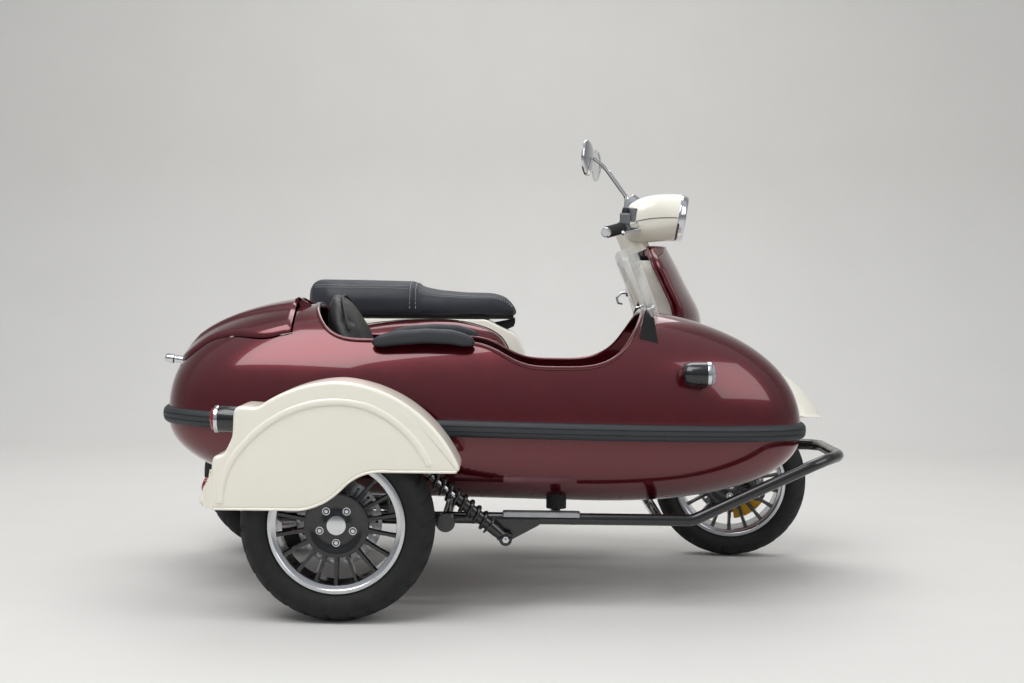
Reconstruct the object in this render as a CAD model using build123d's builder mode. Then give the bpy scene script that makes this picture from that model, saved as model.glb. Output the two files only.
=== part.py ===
# Motor scooter with a sidecar, as an assembly of separate pieces.
# Drawing frame while modelling: X forward from the rear axle, Y to the vehicle's left from the
# scooter's centre plane, Z up from the ground. Each finished piece is moved by HOME, so that the
# shared origin lies on the ground under the middle of the whole outfit.
from build123d import *
from math import cos, radians, sin, sqrt, tan
import os

os.makedirs("parts", exist_ok=True)

# Overall layout
MID_X = 650.0
MID_Y = -337.0
WHEELBASE = 1372.0
TUB_Y = -535.0
SIDE_WHEEL_X = 283.0
SIDE_WHEEL_Y = -957.0

# Wheels and tyres
REAR_TYRE_R = 236.4
REAR_TYRE_W = 120.0
FRONT_TYRE_R = 229.4
FRONT_TYRE_W = 110.0
BEAD_R = 152.4
FLANGE_R = 166.5
RIM_HALF = 37.0
FLANGE_T = 6.5
BARREL_T = 8.0
HUB_R = 79.0
HUB_T = 16.0
SPOKES = 18
SPOKE_T = 8.0
SPOKE_W = 16.0
LUGS = 5
LUG_PCD = 84.0
LUG_R = 10.0
CAP_R = 24.0
AXLE_R = 12.0
RUNNING_GAP = 0.05
BLIND_BORE = 2 * RIM_HALF - 9.0
THROUGH_BORE = 2 * RIM_HALF + 10.0
BOSS_R = 30.0
DISC_R = 105.0
DISC_T = 4.0

# Steering
RAKE = 23.5
AXIS_GROUND_X = 1479.6
REST_TURN = -6.0
STEERER_R = 15.0
HEAD_TUBE_R = 24.0
HEAD_LOW = 575.0
HEAD_HIGH = 905.0

# Sheet and panel walls
PANEL_T = 5.0
SHIELD_T = 7.0
SEAT_GAP = 0.3

# Tub of the sidecar: half width, height over the belt, depth under it, and where it ends
TUB_HALF = 262.0
TUB_HEIGHT = 318.0
TUB_DEPTH = 200.0
TUB_REAR = -216.0
TUB_FRONT = 1480.0
TUB_WALL = 12.0
BELT_REAR_Z = 468.0
BELT_SLOPE = 1.0
BELT_TALL = 43.0
BELT_PROUD = 15.0
STATIONS = (-213.0, -200.0, -165.0, -90.0, 60.0, 400.0, 850.0, 1150.0, 1300.0, 1390.0, 1445.0, 1474.0)
INNER_STATIONS = (-196.0, -165.0, -90.0, 60.0, 400.0, 850.0, 1150.0, 1300.0, 1390.0, 1440.0, 1462.0)

# Sidecar frame
FRAME_TUBE_R = 15.0
FRAME_Z = 227.0
FRAME_HALF = 252.0
FRAME_REAR = 60.0
FRAME_BEND_X = 1165.0
BUMPER_X = 1562.0
BUMPER_Z = 383.0


def steer_x(z):
    """X of the steering axis at height z."""
    return AXIS_GROUND_X - z * tan(radians(RAKE))


def belt_z(x):
    """Height of the tub's belt line, which falls a little towards the nose."""
    return BELT_REAR_Z - (x - TUB_REAR) * tan(radians(BELT_SLOPE))


HOME = Location((-MID_X, -MID_Y, 0.0))
STEER_AXIS = Axis((steer_x(0.0), 0.0, 0.0), (-sin(radians(RAKE)), 0.0, cos(radians(RAKE))))


def save(piece, name, steered=False):
    """Label a finished piece, bring it home and write its STEP file; steered pieces take the parked turn."""
    solid = piece.part
    if steered:
        solid = solid.rotate(STEER_AXIS, REST_TURN)
    solid = solid.moved(HOME)
    solid.label = name
    export_step(solid, f"parts/{name}.step")


def bar(points, radius, bend=0.0, mode=Mode.ADD):
    """Add a round bar along straight runs that are joined by bends of one radius."""
    with BuildLine() as route:
        if len(points) == 2:
            Line(*points)
        else:
            FilletPolyline(*points, radius=bend)
    with BuildSketch(Plane(origin=route.line @ 0, z_dir=route.line % 0)) as section:
        Circle(radius)
    sweep(sections=section.sketch, path=route.line, mode=mode)


def arc_chain(points):
    """Join points by arcs, each through three of them."""
    for start, through, end in zip(points[0::2], points[1::2], points[2::2]):
        ThreePointArc(start, through, end)


# Wheels
def wheel_plane(x, y, z):
    """A plane through a wheel's centre whose first axis is radial and second runs along the axle."""
    return Plane(origin=(x, y, z), x_dir=(1, 0, 0), z_dir=(0, 0, 1))


def axle_axis(x, y, z):
    return Axis((x, y, z), (0, 1, 0))


def tyre(x, y, z, radius, width):
    """Round tyre: bead, sidewall arcs and a crowned tread, turned about the axle."""
    half = width / 2
    with BuildPart() as ring:
        with BuildSketch(wheel_plane(x, y, z)):
            with BuildLine():
                Line((BEAD_R + SEAT_GAP, -RIM_HALF + SEAT_GAP), (BEAD_R + SEAT_GAP, RIM_HALF - SEAT_GAP))
                Line((BEAD_R + SEAT_GAP, RIM_HALF - SEAT_GAP), (FLANGE_R + 1.0, RIM_HALF - SEAT_GAP))
                ThreePointArc((FLANGE_R + 1.0, RIM_HALF - SEAT_GAP), (radius - 44.0, half), (radius - 22.0, half - 6.0))
                ThreePointArc((radius - 22.0, half - 6.0), (radius, 0.0), (radius - 22.0, -half + 6.0))
                ThreePointArc((radius - 22.0, -half + 6.0), (radius - 44.0, -half), (FLANGE_R + 1.0, -RIM_HALF + SEAT_GAP))
                Line((FLANGE_R + 1.0, -RIM_HALF + SEAT_GAP), (BEAD_R + SEAT_GAP, -RIM_HALF + SEAT_GAP))
            make_face()
        revolve(axis=axle_axis(x, y, z))
    return ring


def rim(x, y, z, outer_side, bore_length):
    """Cast wheel: barrel with two flanges, hub disc towards the outer side, thin spokes and lug rings."""
    face_y = outer_side * (RIM_HALF - HUB_T)
    with BuildPart() as cast:
        with BuildSketch(wheel_plane(x, y, z)):
            with BuildLine():
                Polyline(
                    (BEAD_R - BARREL_T, -RIM_HALF - FLANGE_T),
                    (FLANGE_R, -RIM_HALF - FLANGE_T),
                    (FLANGE_R, -RIM_HALF),
                    (BEAD_R, -RIM_HALF),
                    (BEAD_R, RIM_HALF),
                    (FLANGE_R, RIM_HALF),
                    (FLANGE_R, RIM_HALF + FLANGE_T),
                    (BEAD_R - BARREL_T, RIM_HALF + FLANGE_T),
                    close=True,
                )
            make_face()
        revolve(axis=axle_axis(x, y, z))
        hub = Plane(origin=(x, y + face_y, z), x_dir=(1, 0, 0), z_dir=(0, outer_side, 0))
        with BuildSketch(hub):
            Circle(HUB_R)
        extrude(amount=HUB_T)
        with BuildSketch(hub):
            with PolarLocations((HUB_R + BEAD_R) / 2 - BARREL_T / 2, SPOKES):
                Rectangle(BEAD_R - HUB_R - BARREL_T + 8.0, SPOKE_T)
        extrude(amount=SPOKE_W, both=False)
        with BuildSketch(Plane(origin=(x, y - outer_side * RIM_HALF, z), x_dir=(1, 0, 0), z_dir=(0, outer_side, 0))):
            Circle(BOSS_R)
        extrude(amount=2 * RIM_HALF)
        with BuildSketch(Plane(origin=(x, y + outer_side * RIM_HALF, z), x_dir=(1, 0, 0), z_dir=(0, outer_side, 0))):
            with PolarLocations(LUG_PCD / 2, LUGS, start_angle=90.0 + 36.0):
                Circle(LUG_R)
            Circle(CAP_R)
        extrude(amount=3.0)
        inner_end = Plane(origin=(x, y - outer_side * RIM_HALF, z), x_dir=(1, 0, 0), z_dir=(0, outer_side, 0))
        with BuildSketch(inner_end):
            Circle(AXLE_R + RUNNING_GAP)
        extrude(amount=bore_length, mode=Mode.SUBTRACT)
    return cast


def brake_disc(x, y, z):
    """Flat brake disc with a ring of round holes and an open middle."""
    with BuildPart() as disc:
        with BuildSketch(Plane(origin=(x, y, z), x_dir=(1, 0, 0), z_dir=(0, 1, 0))):
            Circle(DISC_R)
            Circle(BOSS_R + SEAT_GAP, mode=Mode.SUBTRACT)
            with PolarLocations(92.0, 18):
                Circle(4.0, mode=Mode.SUBTRACT)
            with PolarLocations(78.0, 18, start_angle=10.0):
                Circle(4.0, mode=Mode.SUBTRACT)
        extrude(amount=DISC_T)
    return disc


rear_tyre = tyre(0.0, 0.0, REAR_TYRE_R, REAR_TYRE_R, REAR_TYRE_W)
save(rear_tyre, "rear_tyre")
rear_rim = rim(0.0, 0.0, REAR_TYRE_R, -1, BLIND_BORE)
save(rear_rim, "rear_rim")
front_tyre = tyre(WHEELBASE, 0.0, FRONT_TYRE_R, FRONT_TYRE_R, FRONT_TYRE_W)
save(front_tyre, "front_tyre", steered=True)
front_rim = rim(WHEELBASE, 0.0, FRONT_TYRE_R, -1, THROUGH_BORE)
save(front_rim, "front_rim", steered=True)
side_tyre = tyre(SIDE_WHEEL_X, SIDE_WHEEL_Y, REAR_TYRE_R, REAR_TYRE_R, REAR_TYRE_W)
save(side_tyre, "sidecar_tyre")
side_rim = rim(SIDE_WHEEL_X, SIDE_WHEEL_Y, REAR_TYRE_R, -1, BLIND_BORE)
save(side_rim, "sidecar_rim")


# Sidecar tub
def swell(x, size, inset, rear_mid, front_mid, power_rear, power_front):
    """Size of a tub section at x: full between the two middles and rounded off to nothing at both ends."""
    rear_run = rear_mid - TUB_REAR - inset
    front_run = TUB_FRONT - front_mid - inset
    if x < rear_mid:
        return (size - inset) * (1 - ((rear_mid - x) / rear_run) ** power_rear) ** (1 / power_rear)
    if x > front_mid:
        return (size - inset) * (1 - ((x - front_mid) / front_run) ** power_front) ** (1 / power_front)
    return size - inset


def tub_half(x, inset=0.0):
    return swell(x, TUB_HALF, inset, 350.0, 600.0, 2.6, 2.3)


def tub_height(x, inset=0.0):
    return swell(x, TUB_HEIGHT, inset, 500.0, 900.0, 2.6, 2.2)


def tub_depth(x, inset=0.0):
    return swell(x, TUB_DEPTH, inset, 350.0, 900.0, 2.2, 2.2)


def squircle(half, height, power, turn):
    """Point of a superellipse quarter at an angle of turn degrees from its side."""
    return (half * cos(radians(turn)) ** (2 / power), height * sin(radians(turn)) ** (2 / power))


def tub_section(x, half, height, power, up):
    """Half of a tub section on the belt: flank and crown arcs through points of a superellipse."""
    quarter = [squircle(half, height, power, turn) for turn in (0.0, 20.0, 45.0, 70.0, 90.0)]
    right = [(TUB_Y - side, belt_z(x) + up * rise) for side, rise in quarter]
    left = [(TUB_Y + side, belt_z(x) + up * rise) for side, rise in reversed(quarter)]
    with BuildSketch(Plane.YZ.offset(x)) as section:
        with BuildLine():
            arc_chain(right)
            arc_chain(left)
            Line(left[-1], right[0])
        make_face()
    return section.sketch.face()


UPPER_POWER = 2.2
LOWER_POWER = 3.0
RIM_LINE = (
    (172.0, 900.0),
    (172.0, 778.0),
    (212.0, 700.0),
    (262.0, 673.0),
    (600.0, 670.0),
    (650.0, 658.0),
    (695.0, 627.0),
    (745.0, 608.0),
    (890.0, 608.0),
    (945.0, 619.0),
    (990.0, 650.0),
    (1040.0, 735.0),
    (1100.0, 900.0),
)
LID_REAR = -186.0
LID_FRONT = 128.0
LID_BEND = 45.0
LID_HALF_REAR = 95.0
LID_HALF_FRONT = 172.0
LID_PROUD = 10.0
LID_GAP = 5.0

LID_HINGE_X = 131.0
LID_HINGE_Z = 774.0
LID_PIN_R = 3.0
LID_EYE_R = 6.0
LID_EYE_HALF = 40.0
LID_EAR_T = 8.0


def upper_sections(stations, inset):
    return [tub_section(x, tub_half(x, inset), tub_height(x, inset), UPPER_POWER, 1) for x in stations]


def lower_sections(stations, inset):
    return [tub_section(x, tub_half(x, inset), tub_depth(x, inset), LOWER_POWER, -1) for x in stations]


with BuildPart() as tub_skin:
    loft(upper_sections(STATIONS, 0.0))

with BuildPart() as tub_hollow:
    loft(upper_sections(INNER_STATIONS, TUB_WALL))

with BuildPart() as hull_skin:
    loft(lower_sections(STATIONS, 0.0))

with BuildPart() as hull_hollow:
    loft(lower_sections(INNER_STATIONS, TUB_WALL))


def lid_plan(margin):
    """Plan outline of the boot lid, wider towards the seat, with a rounded tail."""
    half_rear = LID_HALF_REAR + margin
    half_front = LID_HALF_FRONT + margin
    with BuildSketch(Plane.XY.offset(480.0)) as plan:
        with BuildLine():
            Line((LID_FRONT + margin, TUB_Y + half_front), (LID_FRONT + margin, TUB_Y - half_front))
            Line((LID_FRONT + margin, TUB_Y - half_front), (LID_BEND, TUB_Y - half_front))
            Line((LID_BEND, TUB_Y - half_front), (LID_REAR + 60.0, TUB_Y - half_rear))
            ThreePointArc(
                (LID_REAR + 60.0, TUB_Y - half_rear),
                (LID_REAR - margin, TUB_Y),
                (LID_REAR + 60.0, TUB_Y + half_rear),
            )
            Line((LID_REAR + 60.0, TUB_Y + half_rear), (LID_BEND, TUB_Y + half_front))
            Line((LID_BEND, TUB_Y + half_front), (LID_FRONT + margin, TUB_Y + half_front))
        make_face()
    return plan.sketch


with BuildPart() as tub_upper:
    add(tub_skin.part)
    add(tub_hollow.part, mode=Mode.SUBTRACT)
    with BuildSketch(Plane.XZ.offset(-TUB_Y)):
        with BuildLine():
            FilletPolyline(*RIM_LINE, radius=12.0)
            Line(RIM_LINE[-1], RIM_LINE[0])
        make_face()
    extrude(amount=TUB_HALF + 40.0, both=True, mode=Mode.SUBTRACT)
    extrude(lid_plan(LID_GAP), amount=400.0, mode=Mode.SUBTRACT)
    for side in (-1, 1):
        with BuildSketch(Plane.XZ.offset(-TUB_Y - side * (LID_EYE_HALF + SEAT_GAP + LID_EAR_T / 2))):
            with Locations((LID_HINGE_X, LID_HINGE_Z)):
                Circle(LID_EYE_R)
            with BuildLine():
                Polyline(
                    (LID_HINGE_X, LID_HINGE_Z + LID_EYE_R),
                    (LID_HINGE_X + 34.0, LID_HINGE_Z - 14.0),
                    (LID_HINGE_X + 34.0, LID_HINGE_Z - 22.0),
                    (LID_HINGE_X + 6.0, LID_HINGE_Z - 22.0),
                    (LID_HINGE_X, LID_HINGE_Z - LID_EYE_R),
                    close=True,
                )
            make_face()
        extrude(amount=LID_EAR_T / 2, both=True)
    bar(((LID_HINGE_X, TUB_Y - LID_EYE_HALF - 2.0, LID_HINGE_Z), (LID_HINGE_X, TUB_Y + LID_EYE_HALF + 2.0, LID_HINGE_Z)), LID_PIN_R)
save(tub_upper, "tub_upper")

SEAT_FLOOR = 335.0
CUSHION_REAR = 292.0
CUSHION_FRONT = 760.0
with BuildPart() as seat_step:
    with BuildSketch(Plane.XY.offset(240.0)):
        with Locations(((CUSHION_REAR + CUSHION_FRONT) / 2, TUB_Y)):
            Rectangle(CUSHION_FRONT - CUSHION_REAR, 2 * TUB_HALF)
    extrude(amount=SEAT_FLOOR - SEAT_GAP - 240.0)
    add(hull_hollow.part, mode=Mode.INTERSECT)

with BuildPart() as tub_lower:
    add(hull_skin.part)
    add(hull_hollow.part, mode=Mode.SUBTRACT)
    add(seat_step.part)
save(tub_lower, "tub_lower")

with BuildPart() as lid_skin:
    loft(upper_sections(STATIONS, -LID_PROUD))

with BuildPart() as boot_lid:
    extrude(lid_plan(0.0), amount=400.0)
    add(lid_skin.part, mode=Mode.INTERSECT)
    add(tub_hollow.part, mode=Mode.SUBTRACT)
    with BuildSketch(Plane.XZ.offset(-TUB_Y)):
        with Locations((LID_HINGE_X, LID_HINGE_Z)):
            Circle(LID_EYE_R)
        with BuildLine():
            Polyline(
                (LID_HINGE_X, LID_HINGE_Z + LID_EYE_R),
                (LID_HINGE_X - 30.0, LID_HINGE_Z - 10.0),
                (LID_HINGE_X - 30.0, LID_HINGE_Z - 18.0),
                (LID_HINGE_X - 4.0, LID_HINGE_Z - 18.0),
                (LID_HINGE_X, LID_HINGE_Z - LID_EYE_R),
                close=True,
            )
        make_face()
    extrude(amount=LID_EYE_HALF, both=True)
    with BuildSketch(Plane.XZ.offset(-TUB_Y)):
        with Locations((LID_HINGE_X, LID_HINGE_Z)):
            Circle(LID_PIN_R + RUNNING_GAP)
    extrude(amount=LID_EYE_HALF, both=True, mode=Mode.SUBTRACT)
save(boot_lid, "boot_lid")

# Belt moulding: a half-round rubber strip round the seam between the two halves of the tub
BELT_PLANE = Plane(
    origin=(TUB_REAR, TUB_Y, BELT_REAR_Z),
    x_dir=(cos(radians(BELT_SLOPE)), 0.0, -sin(radians(BELT_SLOPE))),
    z_dir=(sin(radians(BELT_SLOPE)), 0.0, cos(radians(BELT_SLOPE))),
)
BELT_RUNS = (0.0, 3.0, 16.0, 60.0, 126.0, 276.0, 500.0, 800.0, 1066.0, 1366.0, 1516.0, 1606.0, 1672.0, 1692.0)
# The strip's section, as height over the belt and how far it stands proud, in shares of its size
BELT_SECTION = ((-0.5, 0.3), (-0.28, 1.0), (0.28, 1.0), (0.5, 0.3))


def belt_outline(height, proud):
    """Plan outline of the tub at its belt, grown by proud, drawn as arcs through points of its half width."""
    length = TUB_FRONT - TUB_REAR
    grow = 1.0 + 2.0 * proud / length
    middle = length / 2
    side = [(-middle * grow + middle, 0.0)]
    for distance in BELT_RUNS[1:]:
        side.append((middle + (distance - middle) * grow, tub_half(TUB_REAR + distance) + proud))
    side.append((middle + middle * grow, 0.0))
    with BuildSketch(BELT_PLANE.offset(height)) as outline:
        with BuildLine():
            arc_chain(side)
            arc_chain([(along, -half) for along, half in reversed(side)])
        make_face()
    return outline.sketch


with BuildPart() as belt_moulding:
    loft([belt_outline(height * BELT_TALL, proud * BELT_PROUD) for height, proud in BELT_SECTION], ruled=True)
    add(tub_skin.part, mode=Mode.SUBTRACT)
    add(hull_skin.part, mode=Mode.SUBTRACT)

# Seat, back and armrests of the sidecar
CUSHION_TOP = 450.0
CUSHION_HALF = 200.0
BACK_PROFILE = (
    (197.0, 771.0),
    (236.0, 793.0),
    (252.0, 790.0),
    (330.0, 640.0),
    (345.0, CUSHION_TOP + SEAT_GAP),
    (255.0, CUSHION_TOP + SEAT_GAP),
    (248.0, 660.0),
)
BACK_HALF = 186.0
ARM_LOW = 668.0
ARM_OUT = 226.0

with BuildPart() as sidecar_cushion:
    with BuildSketch(Plane.XY.offset(SEAT_FLOOR)):
        with Locations(((CUSHION_REAR + CUSHION_FRONT) / 2, TUB_Y)):
            RectangleRounded(CUSHION_FRONT - CUSHION_REAR, 2 * CUSHION_HALF, 40.0)
    extrude(amount=CUSHION_TOP - SEAT_FLOOR)
    fillet(sidecar_cushion.edges().group_by(Axis.Z)[-1], 28.0)
save(sidecar_cushion, "sidecar_seat_cushion")

with BuildPart() as sidecar_back:
    with BuildSketch(Plane.XZ.offset(-TUB_Y)):
        with BuildLine():
            FilletPolyline(*BACK_PROFILE, radius=14.0, close=True)
        make_face()
    extrude(amount=BACK_HALF, both=True)
    with BuildSketch(Plane.YZ.offset(100.0)):
        with BuildLine():
            Polyline((TUB_Y + BACK_HALF, 440.0), (TUB_Y + BACK_HALF, 580.0))
            ThreePointArc((TUB_Y + BACK_HALF, 580.0), (TUB_Y, 795.0), (TUB_Y - BACK_HALF, 580.0))
            Polyline((TUB_Y - BACK_HALF, 580.0), (TUB_Y - BACK_HALF, 440.0), (TUB_Y + BACK_HALF, 440.0))
        make_face()
    extrude(amount=300.0, mode=Mode.INTERSECT)
save(sidecar_back, "sidecar_seat_back")

with BuildPart() as armrests:
    for side in (-1, 1):
        with BuildSketch(Plane.XZ.offset(-(TUB_Y + side * ARM_OUT))):
            with BuildLine():
                Polyline((352.0, ARM_LOW), (340.0, ARM_LOW + 14.0))
                ThreePointArc((340.0, ARM_LOW + 14.0), (480.0, ARM_LOW + 40.0), (606.0, ARM_LOW + 20.0))
                Polyline((606.0, ARM_LOW + 20.0), (600.0, ARM_LOW), (352.0, ARM_LOW))
            make_face()
        extrude(amount=24.0, both=True)
    fillet(armrests.edges().filter_by(GeomType.CIRCLE), 8.0)
    add(tub_skin.part, mode=Mode.SUBTRACT)

with BuildPart() as rubber_trim:
    add(belt_moulding.part)
    add(armrests.part)
save(rubber_trim, "rubber_trim")

# Windscreen: a clear sheet bent round an upright cylinder and leant back, on two triangular brackets
SCREEN_LEAN = 21.0
SCREEN_FOOT_X = 1092.0
SCREEN_FOOT_Z = 752.0
SCREEN_TALL = 190.0
SCREEN_HALF = 222.0
SCREEN_SAG = 42.0
SCREEN_T = 4.0
screen_plane = Plane(
    origin=(SCREEN_FOOT_X, TUB_Y, SCREEN_FOOT_Z),
    x_dir=(0, 1, 0),
    z_dir=(-sin(radians(SCREEN_LEAN)), 0, cos(radians(SCREEN_LEAN))),
)
with BuildPart() as windscreen:
    with BuildSketch(screen_plane):
        with BuildLine():
            ThreePointArc((-SCREEN_HALF, SCREEN_SAG), (0.0, 0.0), (SCREEN_HALF, SCREEN_SAG))
            Line((SCREEN_HALF, SCREEN_SAG), (SCREEN_HALF - 1.0, SCREEN_SAG + SCREEN_T))
            ThreePointArc(
                (SCREEN_HALF - 1.0, SCREEN_SAG + SCREEN_T),
                (0.0, SCREEN_T),
                (-SCREEN_HALF + 1.0, SCREEN_SAG + SCREEN_T),
            )
            Line((-SCREEN_HALF + 1.0, SCREEN_SAG + SCREEN_T), (-SCREEN_HALF, SCREEN_SAG))
        make_face()
    extrude(amount=SCREEN_TALL)
save(windscreen, "windscreen")

BRACKET_T = 5.0
BRACKET_OUT = 165.0
SCREEN_R = (SCREEN_HALF**2 + SCREEN_SAG**2) / (2 * SCREEN_SAG)


def screen_back(out, rise):
    """Point just behind the screen, at a distance out from its middle and a rise up its lean."""
    sag = SCREEN_R - sqrt(SCREEN_R**2 - out**2) + SCREEN_T + SEAT_GAP
    lean = radians(SCREEN_LEAN)
    return (SCREEN_FOOT_X - sag * cos(lean) - rise * sin(lean), SCREEN_FOOT_Z - sag * sin(lean) + rise * cos(lean))


with BuildPart() as windscreen_brackets:
    for side in (-1, 1):
        clamp_low = screen_back(BRACKET_OUT + BRACKET_T / 2, 0.0)
        clamp_high = screen_back(BRACKET_OUT + BRACKET_T / 2, 40.0)
        with BuildSketch(Plane.XZ.offset(-(TUB_Y + side * BRACKET_OUT))):
            with BuildLine():
                Polyline((1016.0, 640.0), (1084.0, 640.0), clamp_low, clamp_high, (1034.0, 752.0), close=True)
            make_face()
        extrude(amount=BRACKET_T / 2, both=True)
    add(tub_skin.part, mode=Mode.SUBTRACT)
save(windscreen_brackets, "windscreen_brackets")

# Sidecar mudguard: a pressed D-shaped side, a band round the wheel and lamp bosses at the tail
GUARD_OUT_Y = -1030.0
GUARD_IN_Y = -868.0
GUARD_T = 4.0
APRON_Z = 440.0


def guard_outline(inset):
    """Side outline of the mudguard, from the tail along the wavy lower edge, the nose and back over the arch."""
    low = 276.0
    nose = 370.0
    with BuildSketch(Plane.XZ.offset(-GUARD_OUT_Y)) as outline:
        with BuildLine():
            Line((-46.0 + inset, low + 24.0), (-12.0 + inset, low))
            Line((-12.0 + inset, low), (200.0, low))
            ThreePointArc((200.0, low), (258.0, low + 20.0), (298.0, low + 52.0))
            ThreePointArc((298.0, low + 52.0), (346.0, nose - 8.0), (402.0, nose))
            Line((402.0, nose), (582.0 - inset, nose))
            ThreePointArc((582.0 - inset, nose), (491.0 - 0.7 * inset, 503.0 - 0.7 * inset), (291.0, 586.0 - inset))
            ThreePointArc((291.0, 586.0 - inset), (190.0, 570.0 - inset), (96.0 + inset, 521.0 - inset))
            Polyline(
                (96.0 + inset, 521.0 - inset),
                (39.0 + inset, 524.0 - inset),
                (37.0 + inset, 450.0),
                (17.0 + inset, 408.0),
                (-12.0 + inset, 408.0 - inset),
                (-15.0 + inset, 350.0),
                (-46.0 + inset, low + 24.0),
            )
        make_face()
    return outline.sketch


with BuildPart() as sidecar_mudguard:
    extrude(guard_outline(0.0), amount=GUARD_OUT_Y - GUARD_IN_Y)
    with BuildSketch(Plane.XZ.offset(-GUARD_OUT_Y - GUARD_T)) as hollow_face:
        with BuildLine():
            Line((-12.0 + GUARD_T, 200.0), (640.0, 200.0))
            Line((640.0, 200.0), (640.0, 370.0))
            Line((640.0, 370.0), (578.0, 370.0))
            ThreePointArc((578.0, 370.0), (488.0, 500.0), (291.0, 582.0))
            ThreePointArc((291.0, 582.0), (192.0, 566.0), (98.0, 516.0))
            Polyline((98.0, 516.0), (44.0, 517.0), (42.0, 448.0), (22.0, 402.0), (-8.0, 402.0), (-12.0 + GUARD_T, 200.0))
        make_face()
    extrude(amount=GUARD_OUT_Y - GUARD_IN_Y + 2 * GUARD_T, mode=Mode.SUBTRACT)
    with BuildSketch(Plane.XZ.offset(-GUARD_IN_Y)):
        with Locations((280.0, APRON_Z - 150.0)):
            Rectangle(800.0, 300.0)
    extrude(amount=2 * GUARD_T, mode=Mode.SUBTRACT)
save(sidecar_mudguard, "sidecar_mudguard")

# Sidecar frame: one tube that runs under the tub, rises and loops round the nose, with cross tubes
GUARD_STAY_Y = GUARD_IN_Y + 8.0 + SEAT_GAP
ARM_Y = -863.0
ARM_HALF_T = 12.0
ARM_PIVOT_X = 540.0
CROSS_R = 14.0
MOUNT_REAR_X = 80.0
MOUNT_FRONT_X = 820.0
MOUNT_OUT = 162.0
with BuildPart() as sidecar_frame:
    near_y = TUB_Y - FRAME_HALF
    far_y = TUB_Y + FRAME_HALF
    bar(
        (
            (FRAME_REAR, near_y, FRAME_Z),
            (FRAME_BEND_X, near_y, FRAME_Z),
            (BUMPER_X - 60.0, near_y + 40.0, BUMPER_Z - 5.0),
            (BUMPER_X, near_y + 120.0, BUMPER_Z),
            (BUMPER_X, far_y - 120.0, BUMPER_Z),
            (BUMPER_X - 60.0, far_y - 40.0, BUMPER_Z - 5.0),
            (FRAME_BEND_X, far_y, FRAME_Z),
            (FRAME_REAR, far_y, FRAME_Z),
        ),
        FRAME_TUBE_R,
        48.0,
    )
    for cross_x in (MOUNT_REAR_X, ARM_PIVOT_X, MOUNT_FRONT_X, 1080.0):
        bar(((cross_x, near_y, FRAME_Z), (cross_x, far_y, FRAME_Z)), CROSS_R)
    bar(((ARM_PIVOT_X, near_y, FRAME_Z), (ARM_PIVOT_X, ARM_Y + ARM_HALF_T + SEAT_GAP, FRAME_Z)), CROSS_R)
    for stay_x in (110.0, 400.0):
        bar(
            (
                (stay_x, near_y, FRAME_Z),
                (stay_x, near_y, FRAME_Z + 80.0),
                (stay_x, GUARD_STAY_Y, FRAME_Z + 115.0),
                (stay_x, GUARD_STAY_Y, 480.0),
            ),
            8.0,
            18.0,
        )
    with BuildSketch(Plane.XZ.offset(-near_y + 9.0)):
        with BuildLine():
            FilletPolyline((640.0, FRAME_Z), (800.0, FRAME_Z), (700.0, 172.0), (670.0, 172.0), radius=8.0, close=True)
        make_face()
    extrude(amount=10.0)
    bar(((690.0, near_y - 12.0, 182.0), (690.0, -833.0 + 14.0 + SEAT_GAP, 182.0)), 11.0)
save(sidecar_frame, "sidecar_frame")

# Trailing arm, wheel axle and sprung damper of the sidecar
SHOCK_LOW = (690.0, 182.0)
SHOCK_HIGH = (470.0, 362.0)
SHOCK_Y = -833.0
EYE_HALF = 14.0
AXLE_END_GAP = 2.0
with BuildPart() as sidecar_arm:
    bar(((ARM_PIVOT_X, ARM_Y, FRAME_Z), (SIDE_WHEEL_X, ARM_Y, REAR_TYRE_R)), ARM_HALF_T - 1.0)
    with BuildSketch(Plane.XZ.offset(-ARM_Y - ARM_HALF_T)):
        with Locations((ARM_PIVOT_X, FRAME_Z), (SIDE_WHEEL_X, REAR_TYRE_R)):
            Circle(24.0)
    extrude(amount=2 * ARM_HALF_T)
    with BuildSketch(Plane.XZ.offset(-SHOCK_Y + EYE_HALF + SEAT_GAP)):
        with BuildLine():
            FilletPolyline((380.0, 222.0), (470.0, 222.0), (484.0, 376.0), (452.0, 376.0), radius=10.0, close=True)
        make_face()
    extrude(amount=6.0)
    axle_end = SIDE_WHEEL_Y + RIM_HALF - BLIND_BORE + AXLE_END_GAP
    bar(((SIDE_WHEEL_X, ARM_Y, REAR_TYRE_R), (SIDE_WHEEL_X, axle_end, REAR_TYRE_R)), AXLE_R)
save(sidecar_arm, "sidecar_swingarm")

with BuildPart() as side_disc:
    add(brake_disc(SIDE_WHEEL_X, SIDE_WHEEL_Y + RIM_HALF - 12.0, REAR_TYRE_R).part)
save(side_disc, "sidecar_brake_disc")

with BuildPart() as front_disc:
    add(brake_disc(WHEELBASE, RIM_HALF - 12.0, FRONT_TYRE_R).part)
save(front_disc, "front_brake_disc", steered=True)


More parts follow.
